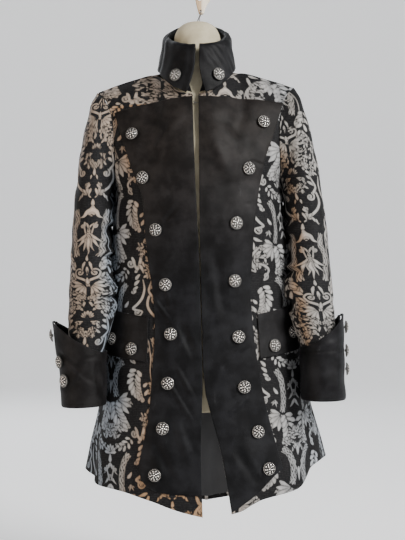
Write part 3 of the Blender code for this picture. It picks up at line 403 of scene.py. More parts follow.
# ---------------------------------------------------------------- the coat's surface
def skirt_fold(side, around, down):
    """How far the skirt's folds move a point out."""
    total = 0.0
    for fold in SKIRT_FOLDS[side]:
        grown = max(0.0, (down - fold.start) / (1.0 - fold.start))
        near = math.exp(-(((around - fold.around) / fold.width) ** 2))
        total += fold.depth * near * grown**1.3
    return total


def ring_point(side, down, angle):
    """A point of the coat below the armpit: angle 0 is centre front, pi is centre back."""
    around = angle / math.pi
    half_width = read(BODY_RINGS, "down", down, "half_width")
    front = math.cos(angle) > 0.0
    depth = read(BODY_RINGS, "down", down, "front_depth" if front else "back_depth")
    x = half_width * power(math.sin(angle), 2.0 / ROUNDNESS)
    y = -depth * power(math.cos(angle), 2.0 / ROUNDNESS)
    out = Vector((x, y, 0.0))
    out *= 1.0 + skirt_fold(side, around, down) / out.length
    out.z = mix(ARMPIT_Z, read(HEM_LINE, "around", around, side), down)
    return out


def edge_angle(side, down):
    """The angle at which a front's edge lies on its ring."""
    z = mix(ARMPIT_Z, HEM_LINE[0].left, down)
    share = read(FRONT_EDGES, "z", z, side) / read(BODY_RINGS, "down", down, "half_width")
    return math.asin(share ** (ROUNDNESS / 2.0))


def armhole_point(rise, back):
    names = ("x", "back_y" if back else "front_y", "z")
    return Vector([read(ARMHOLE, "rise", rise, name) for name in names])


def centre_point(side, rise, back):
    face = "back" if back else "front"
    z = read(CENTRE_LINES, "rise", rise, face + "_z")
    x = 0.0 if back else read(FRONT_EDGES, "z", z, side)
    return Vector((x, read(CENTRE_LINES, "rise", rise, face + "_y"), z))


def top_point(side, across, back):
    """The neckline from the centre edge to the side of the neck, then the shoulder seam."""
    if across <= NECK_SHARE:
        start = centre_point(side, 1.0, back)
        turn = across / NECK_SHARE * math.pi / 2
        return Vector(
            (
                mix(start.x, NECK_SIDE.x, math.sin(turn)),
                mix(NECK_SIDE.y, start.y, math.cos(turn)),
                mix(NECK_SIDE.z, start.z, math.cos(turn) ** 1.5),
            )
        )
    share = (across - NECK_SHARE) / (1.0 - NECK_SHARE)
    seam = NECK_SIDE.lerp(SHOULDER_TIP, share)
    seam.z += 0.004 * math.sin(math.pi * share)
    return seam


def base_point(side, across, back):
    if back:
        return ring_point(side, 0.0, mix(math.pi, math.pi / 2, across))
    return ring_point(side, 0.0, mix(edge_angle(side, 0.0), math.pi / 2, across))


def coat_point(side, across, along, back=False):
    """A point of a front or back, for the wearer's left side."""
    if along >= 0.0:
        start = math.pi if back else edge_angle(side, along)
        return ring_point(side, along, mix(start, math.pi / 2, across))
    rise = -along
    low = base_point(side, across, back)
    high = top_point(side, across, back)
    centre = centre_point(side, rise, back)
    armhole = armhole_point(rise, back)
    corners = (
        (1.0 - across) * (1.0 - rise) * base_point(side, 0.0, back)
        + across * (1.0 - rise) * base_point(side, 1.0, back)
        + (1.0 - across) * rise * top_point(side, 0.0, back)
        + across * rise * top_point(side, 1.0, back)
    )
    return low.lerp(high, rise) + centre.lerp(armhole, across) - corners


def coat_normal(side, across, along, back=False):
    """Straight out of the cloth, for the wearer's left side."""
    step = 0.004
    a0, a1 = max(across - step, 0.0), min(across + step, 1.0)
    b0, b1 = max(along - step, -1.0), min(along + step, 1.0)
    sideways = coat_point(side, a1, along, back) - coat_point(side, a0, along, back)
    down = coat_point(side, across, b1, back) - coat_point(side, across, b0, back)
    normal = sideways.cross(down).normalized()
    return normal if back else -normal


def coat_out(side, across, along, distance, back=False):
    """A point moved straight out of the cloth by a distance."""
    place = coat_point(side, across, along, back)
    return place + coat_normal(side, across, along, back) * distance


def locate(side, x, z):
    """The (across, along) of the front's point that is seen at x and z from the front."""
    across, along = 0.5, (ARMPIT_Z - z) / 0.6
    step = 0.002
    for _ in range(40):
        across = min(max(across, 0.0), 0.995)
        along = min(max(along, -0.995), 0.995)
        here = coat_point(side, across, along)
        by_across = (coat_point(side, across + step, along) - here) / step
        by_along = (coat_point(side, across, along + step) - here) / step
        miss_x, miss_z = x - here.x, z - here.z
        if abs(miss_x) + abs(miss_z) < 0.00001:
            break
        spread = by_across.x * by_along.z - by_across.z * by_along.x
        move_across = (miss_x * by_along.z - miss_z * by_along.x) / spread
        move_along = (miss_z * by_across.x - miss_x * by_across.z) / spread
        across += min(max(move_across, -0.15), 0.15)
        along += min(max(move_along, -0.15), 0.15)
    return across, along


def front_places(side):
    """(across, along) of a front's grid, whose lines take in the velvet panel's edges."""
    grid = []
    for i in range(VELVET_ROWS + 1):
        row = []
        for j in range(VELVET_COLUMNS + 1):
            share = j / VELVET_COLUMNS
            top = read(VELVET_ENDS, "share", share, "top_" + side)
            bottom = read(VELVET_ENDS, "share", share, "bottom_" + side)
            z = mix(top, bottom, i / VELVET_ROWS)
            inner = read(FRONT_EDGES, "z", z, side)
            x = mix(inner, read(VELVET_EDGES, "z", z, side), share)
            row.append(locate(side, x, z))
        across, along = row[-1]
        for j in range(1, OUTER_COLUMNS + 1):
            row.append((mix(across, 1.0, j / OUTER_COLUMNS), along))
        grid.append(row)
    first = [(across, SHOULDER_ALONG) for across, _ in grid[0]]
    second = [(across, mix(SHOULDER_ALONG, along, 0.5)) for across, along in grid[0]]
    hem = [(across, 1.0) for across, _ in grid[-1]]
    return [first, second, *grid, hem]


def back_places():
    """(across, along) of a back's grid."""
    rows = [mix(SHOULDER_ALONG, 0.0, i / BACK_UPPER_ROWS) for i in range(BACK_UPPER_ROWS)]
    rows += [i / BACK_SKIRT_ROWS for i in range(BACK_SKIRT_ROWS + 1)]
    return [[(j / BACK_COLUMNS, along) for j in range(BACK_COLUMNS + 1)] for along in rows]


def flap_place(side, share_across, share_down):
    """(across, along) of a point of the pocket flap."""
    top = mix(*FLAP_TOP_Z, share_across)
    bottom = mix(*FLAP_BOTTOM_Z, share_across)
    z = mix(top, bottom, share_down)
    start, _ = locate(side, mix(*FLAP_INNER_X[side], share_down), z)
    across = mix(start, FLAP_OUTER_ACROSS, share_across)
    around = mix(edge_angle(side, 0.5), math.pi / 2, across) / math.pi
    along = (ARMPIT_Z - z) / (ARMPIT_Z - read(HEM_LINE, "around", around, side))
    return across, along


def sleeve_loop(turn):
    """The armhole seam's point at a turn: 0 at the shoulder tip, pi at the armpit."""
    back = turn > math.pi
    rise = abs(turn - math.pi) / math.pi
    point = armhole_point(rise, back)
    low = (1.0 - math.cos(math.pi * (1.0 - rise))) / 2
    clear = SEAM_GAP + DAMASK_WALL * mix(*SLEEVE_CLEAR, low)
    return point + Vector((clear, 0.0, 0.0))


def sleeve_ring_point(ring, turn):
    outer = Vector((ring.outer_x, ring.mid_y, ring.outer_z))
    inner = Vector((ring.inner_x, ring.mid_y, ring.inner_z))
    middle = outer.lerp(inner, 0.5)
    power_of = 2.0 / SLEEVE_SQUARENESS
    point = middle + (outer - middle) * power(math.cos(turn), power_of)
    point.y -= ring.half_depth * power(math.sin(turn), power_of)
    return point


def near_corner(turn):
    """1 at the cuff's pointed outer corner, falling to 0 on its inner side."""
    return max(0.0, math.cos(math.remainder(turn, 2 * math.pi) / 2)) ** 3


def cuff_point(side, turn, up):
    """A point of the cuff: turn 0 is the outer side, a quarter turn the front."""
    half_width = read(CUFF_RINGS, "up", up, side)
    half_depth = read(CUFF_RINGS, "up", up, "half_depth")
    raised = max(0.0, up - CUFF_FLARE_FROM) / (1.0 - CUFF_FLARE_FROM)
    flare = CUFF_POINT_FLARE[side] * near_corner(turn) ** 2 * raised
    x = CUFF_MID_X + (half_width + flare) * power(math.cos(turn), CUFF_POWER)
    y = mix(*CUFF_MID_Y, up) - half_depth * power(math.sin(turn), CUFF_POWER)
    top = CUFF_INNER_TOP_Z + CUFF_POINT_RISE * near_corner(turn)
    return Vector((x, y, mix(CUFF_BOTTOM_Z, top, up)))


def cuff_turn_point(turn):
    """A point of the edge that the cuff turns in to, against the sleeve's end."""
    half_width, half_depth, z = CUFF_TURN
    x = CUFF_MID_X - CUFF_TURN_SHIFT + half_width * power(math.cos(turn), CUFF_POWER)
    y = CUFF_MID_Y[0] - half_depth * power(math.sin(turn), CUFF_POWER)
    return Vector((x, y, z))


def slit_turns(side, up):
    """The cuff's turns at a height, from one edge of its slit round to the other."""
    slit = CUFF_SLITS[side]
    middle = mix(slit.bottom_angle, slit.top_angle, up)
    half_opening = mix(slit.bottom_opening, slit.top_opening, up) / 2
    first, last = middle + half_opening, middle - half_opening + 2 * math.pi
    return [mix(last, first, k / CUFF_STEPS) for k in range(CUFF_STEPS + 1)]


def collar_point(ring_of, share, turn):
    """A point of the collar: turn 0 is centre front and pi centre back, on either side."""
    x = ring_of(share, "half_width") * math.sin(turn) + ring_of(share, "shift")
    y = mix(ring_of(share, "back_y"), ring_of(share, "front_y"), (1.0 + math.cos(turn)) / 2)
    front_z, side_z, back_z = (ring_of(share, n) for n in ("front_z", "side_z", "back_z"))
    tilt = math.cos(turn)
    even = (front_z + back_z) / 2
    z = even + (front_z - back_z) / 2 * tilt + (side_z - even) * (1.0 - tilt * tilt)
    return Vector((x, y, z))


def collar_rows(rings, shares):
    def ring_of(share, name):
        return read(rings, "share", share, name)

    rows = []
    for share in shares:
        half_width = ring_of(share, "half_width")
        first = -math.asin(ring_of(share, "edge_right") / half_width)
        last = math.asin(ring_of(share, "edge_left") / half_width)
        turns = [mix(last, first + 2 * math.pi, k / COLLAR_STEPS) for k in range(COLLAR_STEPS + 1)]
        rows.append([collar_point(ring_of, share, turn) for turn in turns])
    return [list(reversed(row)) for row in rows]


def sheet_normal(place_of, a, b, step=0.01):
    """Normal of a surface given by a function of two numbers."""
    across = place_of(a + step, b) - place_of(a - step, b)
    down = place_of(a, b + step) - place_of(a, b - step)
    return across.cross(down).normalized()


def both_sides(half_ring_of):
    """A closed ring from half a ring for each side, each from the front round to the back."""
    left, right = half_ring_of("left", 1.0), half_ring_of("right", -1.0)
    return left[1:] + right[::-1][1:]


def form_level(z, inset):
    """A level ring of the form, all round, standing in from the coat's rings."""

    def half_ring(side, sign):
        front, back = [], []
        for across in FORM_ACROSS:
            for half, start in ((front, 0.0), (back, math.pi)):
                angle = mix(start, math.pi / 2, across)
                hem = read(HEM_LINE, "around", angle / math.pi, side)
                down = (ARMPIT_Z - z) / (ARMPIT_Z - hem)
                plain_width = read(BODY_RINGS, "down", down, "half_width")
                depth_name = "front_depth" if start == 0.0 else "back_depth"
                depth = read(BODY_RINGS, "down", down, depth_name)
                x = (plain_width - inset) * power(math.sin(angle), 2.0 / ROUNDNESS)
                y = -(depth - inset) * power(math.cos(angle), 2.0 / ROUNDNESS)
                half.append(Vector((sign * x, y, z)))
        return front + back[::-1][1:]

    return both_sides(half_ring)


def form_upper(rise):
    """A ring of the form above the armpit, inside the fronts, armholes and backs."""

    def half_ring(_, sign):
        front, back = [], []
        for across in FORM_ACROSS:
            reach = across * FORM_REACH
            for half, is_back in ((front, False), (back, True)):
                place = coat_out("left", reach, -rise, -FORM_INSET, is_back)
                if across == 0.0:
                    place.x = 0.0
                half.append(Vector((sign * place.x, place.y, place.z - SHOULDER_SAG * rise)))
        middle = (front[-1] + back[-1]) / 2
        middle.x += sign * FORM_SIDE_BULGE
        return front[:-1] + [middle] + back[::-1][1:]

    return both_sides(half_ring)


def neck_ring(row):
    """A ring of the form's neck, with a point for each point of the rings below it."""
    turns = []
    for across in FORM_ACROSS:
        on_neck = min(across / NECK_TURN_SHARE, 1.0)
        turns.append(on_neck * NECK_TURN + across * (math.pi / 2 - NECK_TURN))
    turns += [math.pi - turn for turn in reversed(turns[:-1])]

    def half_ring(_, sign):
        return [
            Vector((
                sign * row.half_width * math.sin(turn) + NECK_SHIFT,
                row.mid_y - row.half_depth * math.cos(turn), row.z,
            ))
            for turn in turns
        ]

    return both_sides(half_ring)


HANG = Matrix.Translation((HANG_X, 0.0, 0.0)) @ Matrix.Rotation(HANG_TILT, 4, "Y")


def hang(points):
    """From the coat's own frame to the frame that every file shares."""
    turned = np.asarray(points, float) @ np.array(HANG.to_3x3()).T
    return turned + np.array(HANG.translation)


# ---------------------------------------------------------------- sheets of points
def spline(knots, at):
    """Values at places between whole-numbered knots, on a smooth curve through them."""
    knots = np.asarray(knots, float)
    ends = np.concatenate([[2 * knots[0] - knots[1]], knots, [2 * knots[-1] - knots[-2]]])
    i = np.clip(np.floor(at).astype(int), 0, len(knots) - 2)
    s = (at - i).reshape(-1, *([1] * (knots.ndim - 1)))
    p0, p1, p2, p3 = ends[i], ends[i + 1], ends[i + 2], ends[i + 3]
    bend = (2 * p0 - 5 * p1 + 4 * p2 - p3) * s**2 + (3 * p1 - p0 - 3 * p2 + p3) * s**3
    return 0.5 * (2 * p1 + (p2 - p0) * s + bend)


def refine(grid, rows, cols):
    return spline(spline(grid, rows).swapaxes(0, 1), cols).swapaxes(0, 1)


def lengths(points, axis):
    """How far each point is along its row or column."""
    steps = np.linalg.norm(np.diff(points, axis=axis), axis=2)
    shape = list(steps.shape)
    shape[axis] = 1
    return np.concatenate([np.zeros(shape), np.cumsum(steps, axis=axis)], axis=axis)


def even(line, step, first=0.0, last=None):
    """Places along a line of knots that are about a step apart."""
    last = len(line) - 1 if last is None else last
    at = np.linspace(first, last, 12 * len(line))
    points = spline(line, at)
    run = np.concatenate([[0.0], np.cumsum(np.linalg.norm(np.diff(points, axis=0), axis=1))])
    count = max(2, round(run[-1] / step))
    return np.interp(np.linspace(0.0, run[-1], count + 1), run, at)


def as_array(rows):
    return np.array([[tuple(point) for point in row] for row in rows])


def normals(points, sign=1.0):
    """Straight out of a sheet whose rows run down and whose points run round from the front."""
    across, down = np.gradient(points, axis=1), np.gradient(points, axis=0)
    out = sign * np.cross(across, down)
    return out / np.maximum(np.linalg.norm(out, axis=2, keepdims=True), 1e-12)


def creased(rows, x, z):
    """How far creases move a point out: each is a trough with a low ridge on either side."""
    total = np.zeros(np.shape(x))
    for row in rows:
        dx, dz = row.x1 - row.x0, row.z1 - row.z0
        share = ((x - row.x0) * dx + (z - row.z0) * dz) / (dx * dx + dz * dz)
        held = np.clip(share, 0.0, 1.0)
        away = np.hypot(x - row.x0 - held * dx, z - row.z0 - held * dz) / row.width
        fade = np.clip((share + 0.25) / 0.4, 0, 1) * np.clip((1.15 - share) / 0.5, 0, 1)
        total += row.depth * fade * (1.0 - 1.3 * away**2) * np.exp(-(away**2))
    return total


Ripple = namedtuple("Ripple", "height size seed")
RIPPLES = {                         # low swells: how high, and about how long their waves are
    "front_right": Ripple(0.0007, 0.090, 5),
    "front_left": Ripple(0.0007, 0.090, 3),
    "velvet": Ripple(0.00035, 0.035, 8),
    "back": Ripple(0.0008, 0.100, 7),
    "lining_folds": Ripple(0.0016, 0.035, 4),
    "lining_puckers": Ripple(0.0006, 0.050, 6),
    "sleeve_right": Ripple(0.0009, 0.070, 15),
    "sleeve_left": Ripple(0.0009, 0.070, 12),
    "flap": Ripple(0.0005, 0.050, 21),
    "cuff_right": Ripple(0.0011, 0.075, 33),
    "cuff_left": Ripple(0.0011, 0.075, 31),
    "collar": Ripple(0.0006, 0.040, 17),
}


def ripple(name, x, z):
    """How far a piece's low uneven swells move a point out."""
    row = RIPPLES[name]
    rng = np.random.RandomState(row.seed)
    total = np.zeros(np.shape(x))
    for _ in range(7):
        turn, phase = rng.uniform(0, 2 * math.pi, 2)
        wave = row.size * rng.uniform(0.7, 1.6)
        total += np.sin((x * math.cos(turn) + z * math.sin(turn)) * 2 * math.pi / wave + phase)
    return row.height * (total / 3.5)


# A cloth edge, rolled round and back under: how far out past it and down into the wall.
EDGE_ROLL = (
    (0.45, 0.10), (0.85, 0.50), (1.0, 1.0), (0.85, 1.5), (0.45, 1.9), (-0.3, 2.05), (-3.0, 2.05),
)


def roll_edge(points, out, data, radius, where):
    """Adds the rolled lines at an end of a sheet: where is top, bottom, first or last."""
    if where in ("first", "last"):
        back = "top" if where == "first" else "bottom"
        turned = [None if v is None else v.swapaxes(0, 1) for v in (points, out, data)]
        return [v.swapaxes(0, 1) for v in roll_edge(*turned, radius, back)]
    if where == "top":
        flipped = roll_edge(points[::-1], out[::-1], data[::-1], radius, "bottom")
        return [v[::-1] for v in flipped]
    edge, normal = points[-1], out[-1]
    beyond = edge - points[-2]
    beyond -= (beyond * normal).sum(1, keepdims=True) * normal
    beyond /= np.maximum(np.linalg.norm(beyond, axis=1, keepdims=True), 1e-12)
    edge = edge - 0.8 * radius * beyond
    points = np.concatenate([points[:-1], edge[None]])
    lines = [edge + radius * (o * beyond - d * normal) for o, d in EDGE_ROLL]
    count = len(EDGE_ROLL)
    return [
        np.concatenate([points, lines]),
        np.concatenate([out, np.repeat(out[-1:], count, 0)]),
        np.concatenate([data, np.repeat(data[-1:], count, 0)]),
    ]


def sheet_mesh(name, points, sign, flip, values, uv):
    """A sheet's mesh, with values at its points and, as uv, places on its cloth."""
    places = hang(points * (sign, 1.0, 1.0))
    rows, cols = points.shape[:2]
    index = np.arange(rows * cols).reshape(rows, cols)
    quads = np.stack([index[:-1, :-1], index[1:, :-1], index[1:, 1:], index[:-1, 1:]], -1)
    quads = quads.reshape(-1, 4)
    if flip != (sign < 0.0):
        quads = quads[:, ::-1]
    mesh = bpy.data.meshes.new(name)
    mesh.vertices.add(rows * cols)
    mesh.vertices.foreach_set("co", places.astype(np.float32).ravel())
    mesh.loops.add(quads.size)
    mesh.loops.foreach_set("vertex_index", quads.astype(np.int32).ravel())
    mesh.polygons.add(len(quads))
    mesh.polygons.foreach_set("loop_start", np.arange(0, quads.size, 4, dtype=np.int32))
    mesh.update(calc_edges=True)
    mesh.validate()
    mesh.shade_smooth()
    for value, numbers in values.items():
        layer = mesh.attributes.new(value, "FLOAT", "POINT")
        layer.data.foreach_set("value", numbers.astype(np.float32).ravel())
    layer = mesh.uv_layers.new(name="cloth")
    layer.data.foreach_set("uv", uv.reshape(-1, 2)[quads.ravel()].astype(np.float32).ravel())
    return mesh


def add_cloth(name, node, slot, points, out, uv, values, sign, flip, rolls, radius):
    """A cloth piece that stands for a node: sign is its side of the coat, out its normals.

    rolls names the ends that are rolled under, with a radius, and flip turns its faces over.
    """
    data = np.stack([*values.values(), uv[..., 0], uv[..., 1]], -1)
    for where in rolls:
        points, out, data = roll_edge(points, out, data, radius, where)
    values = {key: data[..., k] for k, key in enumerate(values)}
    mesh = sheet_mesh(name, points, sign, flip, values, data[..., -2:])
    mesh.materials.append(CLOTHS[slot])
    piece = bpy.data.objects.new(name, mesh)
    bpy.context.scene.collection.objects.link(piece)
    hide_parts(node)
    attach(piece, "root")


# ---------------------------------------------------------------- the damask's figure
# Drawn in millimetres on half a repeat: a runs from one mirror line to the next, v runs down.
REPEAT_HALF = 130.0
REPEAT_DOWN = 330.0
CELL = 0.8                          # spacing of the places at which the figure is worked out
HALO = 1.1                          # black line round a shape laid on others
FAR = -40.0                         # the field well outside every shape

# Leaves: share of the length, and share of the width there.
PETAL = ((0.0, 0.25), (0.35, 0.75), (0.72, 1.0), (1.0, 0.35))
POINTED = ((0.0, 0.55), (0.3, 1.0), (0.65, 0.6), (1.0, 0.1))

TILE_A, TILE_V = np.meshgrid(
    np.arange(-2 * CELL, REPEAT_HALF + 3 * CELL, CELL), np.arange(0.0, REPEAT_DOWN, CELL)
)


class Figure:
    """A field that is positive inside the figure, by about how many millimetres."""

    def __init__(self):
        self.field = np.full(TILE_A.shape, FAR)
        self.seed = np.random.RandomState(11)

    def stroke(self, points, widths, halo=HALO, cut=False, steps=8):
        """A line through points, with a width at each; cut takes it away."""
        points = np.asarray(points, float)
        widths = np.asarray(widths, float)
        at = np.linspace(0, len(points) - 1, steps * (len(points) - 1) + 1)
        line = spline(points, at)
        half = np.interp(at, np.arange(len(widths)), widths) / 2
        reach = half.max() + halo + 1.0
        low, high = line.min(0) - reach, line.max(0) + reach
        middle_v = (low[1] + high[1]) / 2
        v = (TILE_V - middle_v + REPEAT_DOWN / 2) % REPEAT_DOWN - REPEAT_DOWN / 2 + middle_v
        near = (TILE_A > low[0]) & (TILE_A < high[0]) & (v > low[1]) & (v < high[1])
        if not near.any():
            return
        a, v = TILE_A[near], v[near]
        inside = np.full(a.shape, FAR)
        for k in range(len(line) - 1):
            start, step = line[k], line[k + 1] - line[k]
            length = max(step @ step, 1e-9)
            share = np.clip(((a - start[0]) * step[0] + (v - start[1]) * step[1]) / length, 0, 1)
            away = np.hypot(a - start[0] - share * step[0], v - start[1] - share * step[1])
            inside = np.maximum(inside, half[k] + share * (half[k + 1] - half[k]) - away)
        field = self.field[near]
        if cut:
            field = np.minimum(field, -inside)
        else:
            field = np.maximum(np.minimum(field, -(inside + halo)), inside)
        self.field[near] = field

    def leaf(self, outline, a, v, angle, length, width, bend, halo):
        """A curved leaf that starts at (a, v).  An angle of 0 points down."""
        angle = math.radians(angle)
        along = np.array([math.sin(angle), math.cos(angle)])
        side = np.array([along[1], -along[0]])
        points = [np.array([a, v]) + length * (s * along + bend * s * s * side) for s, _ in outline]
        self.stroke(points, [share * width for _, share in outline], halo, steps=4)

    def petal(self, a, v, angle, length, width, bend=0.0, halo=HALO):
        """A leaf with its blunt end away from (a, v)."""
        self.leaf(PETAL, a, v, angle, length, width, bend, halo)

    def pointed(self, a, v, angle, length, width, bend=0.0, halo=HALO):
        """A leaf with its pointed end away from (a, v)."""
        self.leaf(POINTED, a, v, angle, length, width, bend, halo)

    def volute(self, a, v, radius, start, turns, width, tail=()):
        """A spiral; turns is negative for one that winds the other way.  tail leads in to it."""
        count = 5 * max(2, int(abs(turns) * 2.4))
        points, widths = [], []
        for k in range(count + 1):
            share = k / count
            angle = math.radians(start) + turns * 2 * math.pi * share
            reach = radius * (1.0 - 0.86 * share**0.8)
            points.append((a + reach * math.sin(angle), v + reach * math.cos(angle)))
            widths.append(width * (1.0 - 0.30 * share))
        widths[-1] = width * 1.35
        lead = [(x, y) for x, y, _ in tail]
        self.stroke(lead + points, [wide for _, _, wide in tail] + widths, steps=4)

    def acanthus(self, spine, width, lobes, one_side=0):
        """A lobed leaf along a spine, from its stem to its tip, with a dark midrib."""
        spine = np.asarray(spine, float)
        at = np.linspace(0.04, 0.86, lobes) * (len(spine) - 1)
        places = spline(spine, at)
        ahead = spline(spine, at + 0.05) - places
        for k in reversed(range(lobes)):
            share = k / (lobes - 1)
            heading = math.degrees(math.atan2(ahead[k][0], ahead[k][1]))
            length = width * (0.55 + 0.45 * math.sin(math.pi * (0.15 + 0.75 * share)))
            for side in (-1, 1):
                if one_side and side != one_side:
                    continue
                turn = heading + side * mix(72, 30, share)
                self.petal(*places[k], turn, length, 0.46 * width, -0.20 * side)
        tip = spine[-1] - spine[-2]
        heading = math.degrees(math.atan2(tip[0], tip[1]))
        self.pointed(*places[-1], heading, 0.62 * width, 0.40 * width)
        self.stroke(spine[:-1], [1.3] * (len(spine) - 1), cut=True)

    def fan(self, a, v, heading, spread, petals, length, width, bend=0.0):
        """Petals spread about a heading, the middle ones the longest."""
        for k in range(petals):
            share = k / (petals - 1) - 0.5
            reach = length * (1.0 - 0.5 * abs(share) ** 1.5)
            self.petal(a, v, heading + spread * share, reach, width, bend * share * 2)

    def chain(self, route, width, links):
        """Two strands that twist round each other between two plain lines."""
        route = np.asarray(route, float)
        at = np.linspace(0, len(route) - 1, 6 * links + 1)
        line = spline(route, at)
        ahead = np.gradient(line, axis=0)
        side = np.stack([ahead[:, 1], -ahead[:, 0]], 1)
        side /= np.linalg.norm(side, axis=1, keepdims=True)
        for sign in (-1, 1):
            self.stroke(line[::2] + sign * 0.95 * width * side[::2], [1.9] * len(line[::2]), 1.1)
        swing = np.sin(np.linspace(0, math.pi * links, len(line)))[:, None]
        for sign in (-1, 1):
            self.stroke(line + sign * 0.46 * width * swing * side, [3.1] * len(line), 1.2, steps=3)

    def sprig(self, a, v, heading, length):
        """Four pointed leaves from one place."""
        for turn, reach in ((-48, 0.75), (46, 0.7), (-20, 0.95), (18, 1.0)):
            self.pointed(a, v, heading + turn, length * reach, 0.26 * length, 0.12 * (turn > 0) - 0.06)

    def thicket(self, a, v, wide, high, count, size, heading, swirl):
        """A close patch of small curled leaves about a place."""
        for k in range(count):
            turn, reach = self.seed.uniform(0, 2 * math.pi), self.seed.uniform(0, 1) ** 0.5
            x, y = a + wide * reach * math.sin(turn), v + high * reach * math.cos(turn)
            angle = heading + swirl * math.degrees(turn) + self.seed.uniform(-35, 35)
            scale = size * self.seed.uniform(0.75, 1.25)
            bend = self.seed.choice((-0.45, 0.45))
            self.petal(x, y, angle, scale, 0.46 * scale, bend, 1.1)


def draw_axis(fig):
    """The upright motifs on the first mirror line, from the top of the repeat down."""
    # a tuft and the leaves of the band that comes down beside it
    fig.thicket(9, 12, 9, 16, 16, 8, 0, 0.3)
    fig.fan(0, -8, 180, 150, 7, 12, 4.6)
    for v in (-12, -2, 9):
        fig.pointed(25, v, 62, 15, 6.0, -0.25)
    # the big scroll and what hangs in it
    fig.thicket(8, 26, 9, 10, 14, 7, 200, 0.0)
    fig.volute(
        24, 39, 9.0, 150, -1.35, 3.6,
        tail=((4, 88, 2.6), (16, 78, 5.0), (33, 64, 5.4), (41, 48, 5.6), (37, 31, 4.8)),
    )
    fig.stroke([(32, 30), (38, 20), (34, 6), (30, -6)], (5.0, 4.4, 3.2, 1.6))
    fig.petal(0, 30, 0, 14, 6.0)
    fig.pointed(5, 44, 12, 9, 4.0)
    fig.fan(8, 84, 150, 75, 4, 17, 5.2, 0.15)
    fig.fan(14, 70, 205, 60, 3, 13, 4.6, -0.2)
    fig.pointed(19, 80, 28, 19, 5.0, 0.3)
    fig.pointed(26, 84, 8, 12, 3.6, 0.2)
    # drop and bell
    fig.petal(0, 92, 0, 12, 7.0)
    fig.stroke([(0, 108), (0, 114), (0, 120)], (7, 13, 12))
    fig.stroke([(0, 112), (8, 117), (13, 125), (19, 128)], (9, 8, 5, 2), 0.0)
    fig.stroke([(0, 130), (5, 126), (0, 122)], (2, 1.6, 2), cut=True)
    # crown of curls
    fig.volute(13, 144, 6.0, 200, 1.25, 2.7, tail=((3, 168, 2.2), (6, 158, 3.0)))
    fig.stroke([(0, 152), (3, 144), (7, 139)], (3.2, 3.6, 1.8))
    fig.petal(0, 148, 0, 9, 6.4)
    fig.stroke([(0, 150), (0, 154)], (1.6, 1.6), cut=True)
    # hanging lotus leaves
    fig.pointed(2, 160, 24, 34, 7.0, 0.16)
    fig.pointed(1, 164, 9, 32, 6.4, 0.10)
    fig.pointed(5, 162, 40, 26, 5.6, 0.30)
    fig.pointed(0, 168, 0, 34, 6.6)
    fig.petal(0, 203, 0, 10, 5.0)
    # ram's horns
    fig.volute(
        13, 236, 9.0, 90, 1.30, 3.2, tail=((1.5, 262, 2.4), (3, 252, 4.2), (10, 248, 4.6), (19, 244, 4.4))
    )
    fig.pointed(4, 216, 30, 17, 5.2, -0.3)
    fig.pointed(0, 226, 0, 16, 5.4)
    fig.stroke([(0, 232), (0, 238)], (1.2, 1.2), cut=True)
    fig.petal(0, 246, 0, 12, 6.0)
    # leaves that spread under them
    for k, turn in enumerate((14, 38, 62, 86, 112)):
        fig.petal(4 + 1.5 * k, 264 - 1.5 * k, turn, 21 - k, 5.6, -0.18)
    fig.thicket(12, 290, 14, 14, 34, 8.5, 20, 0.4)
    fig.volute(9, 283, 4.6, 230, 1.1, 2.1)
    fig.volute(15, 302, 5.0, 40, -1.1, 2.2)


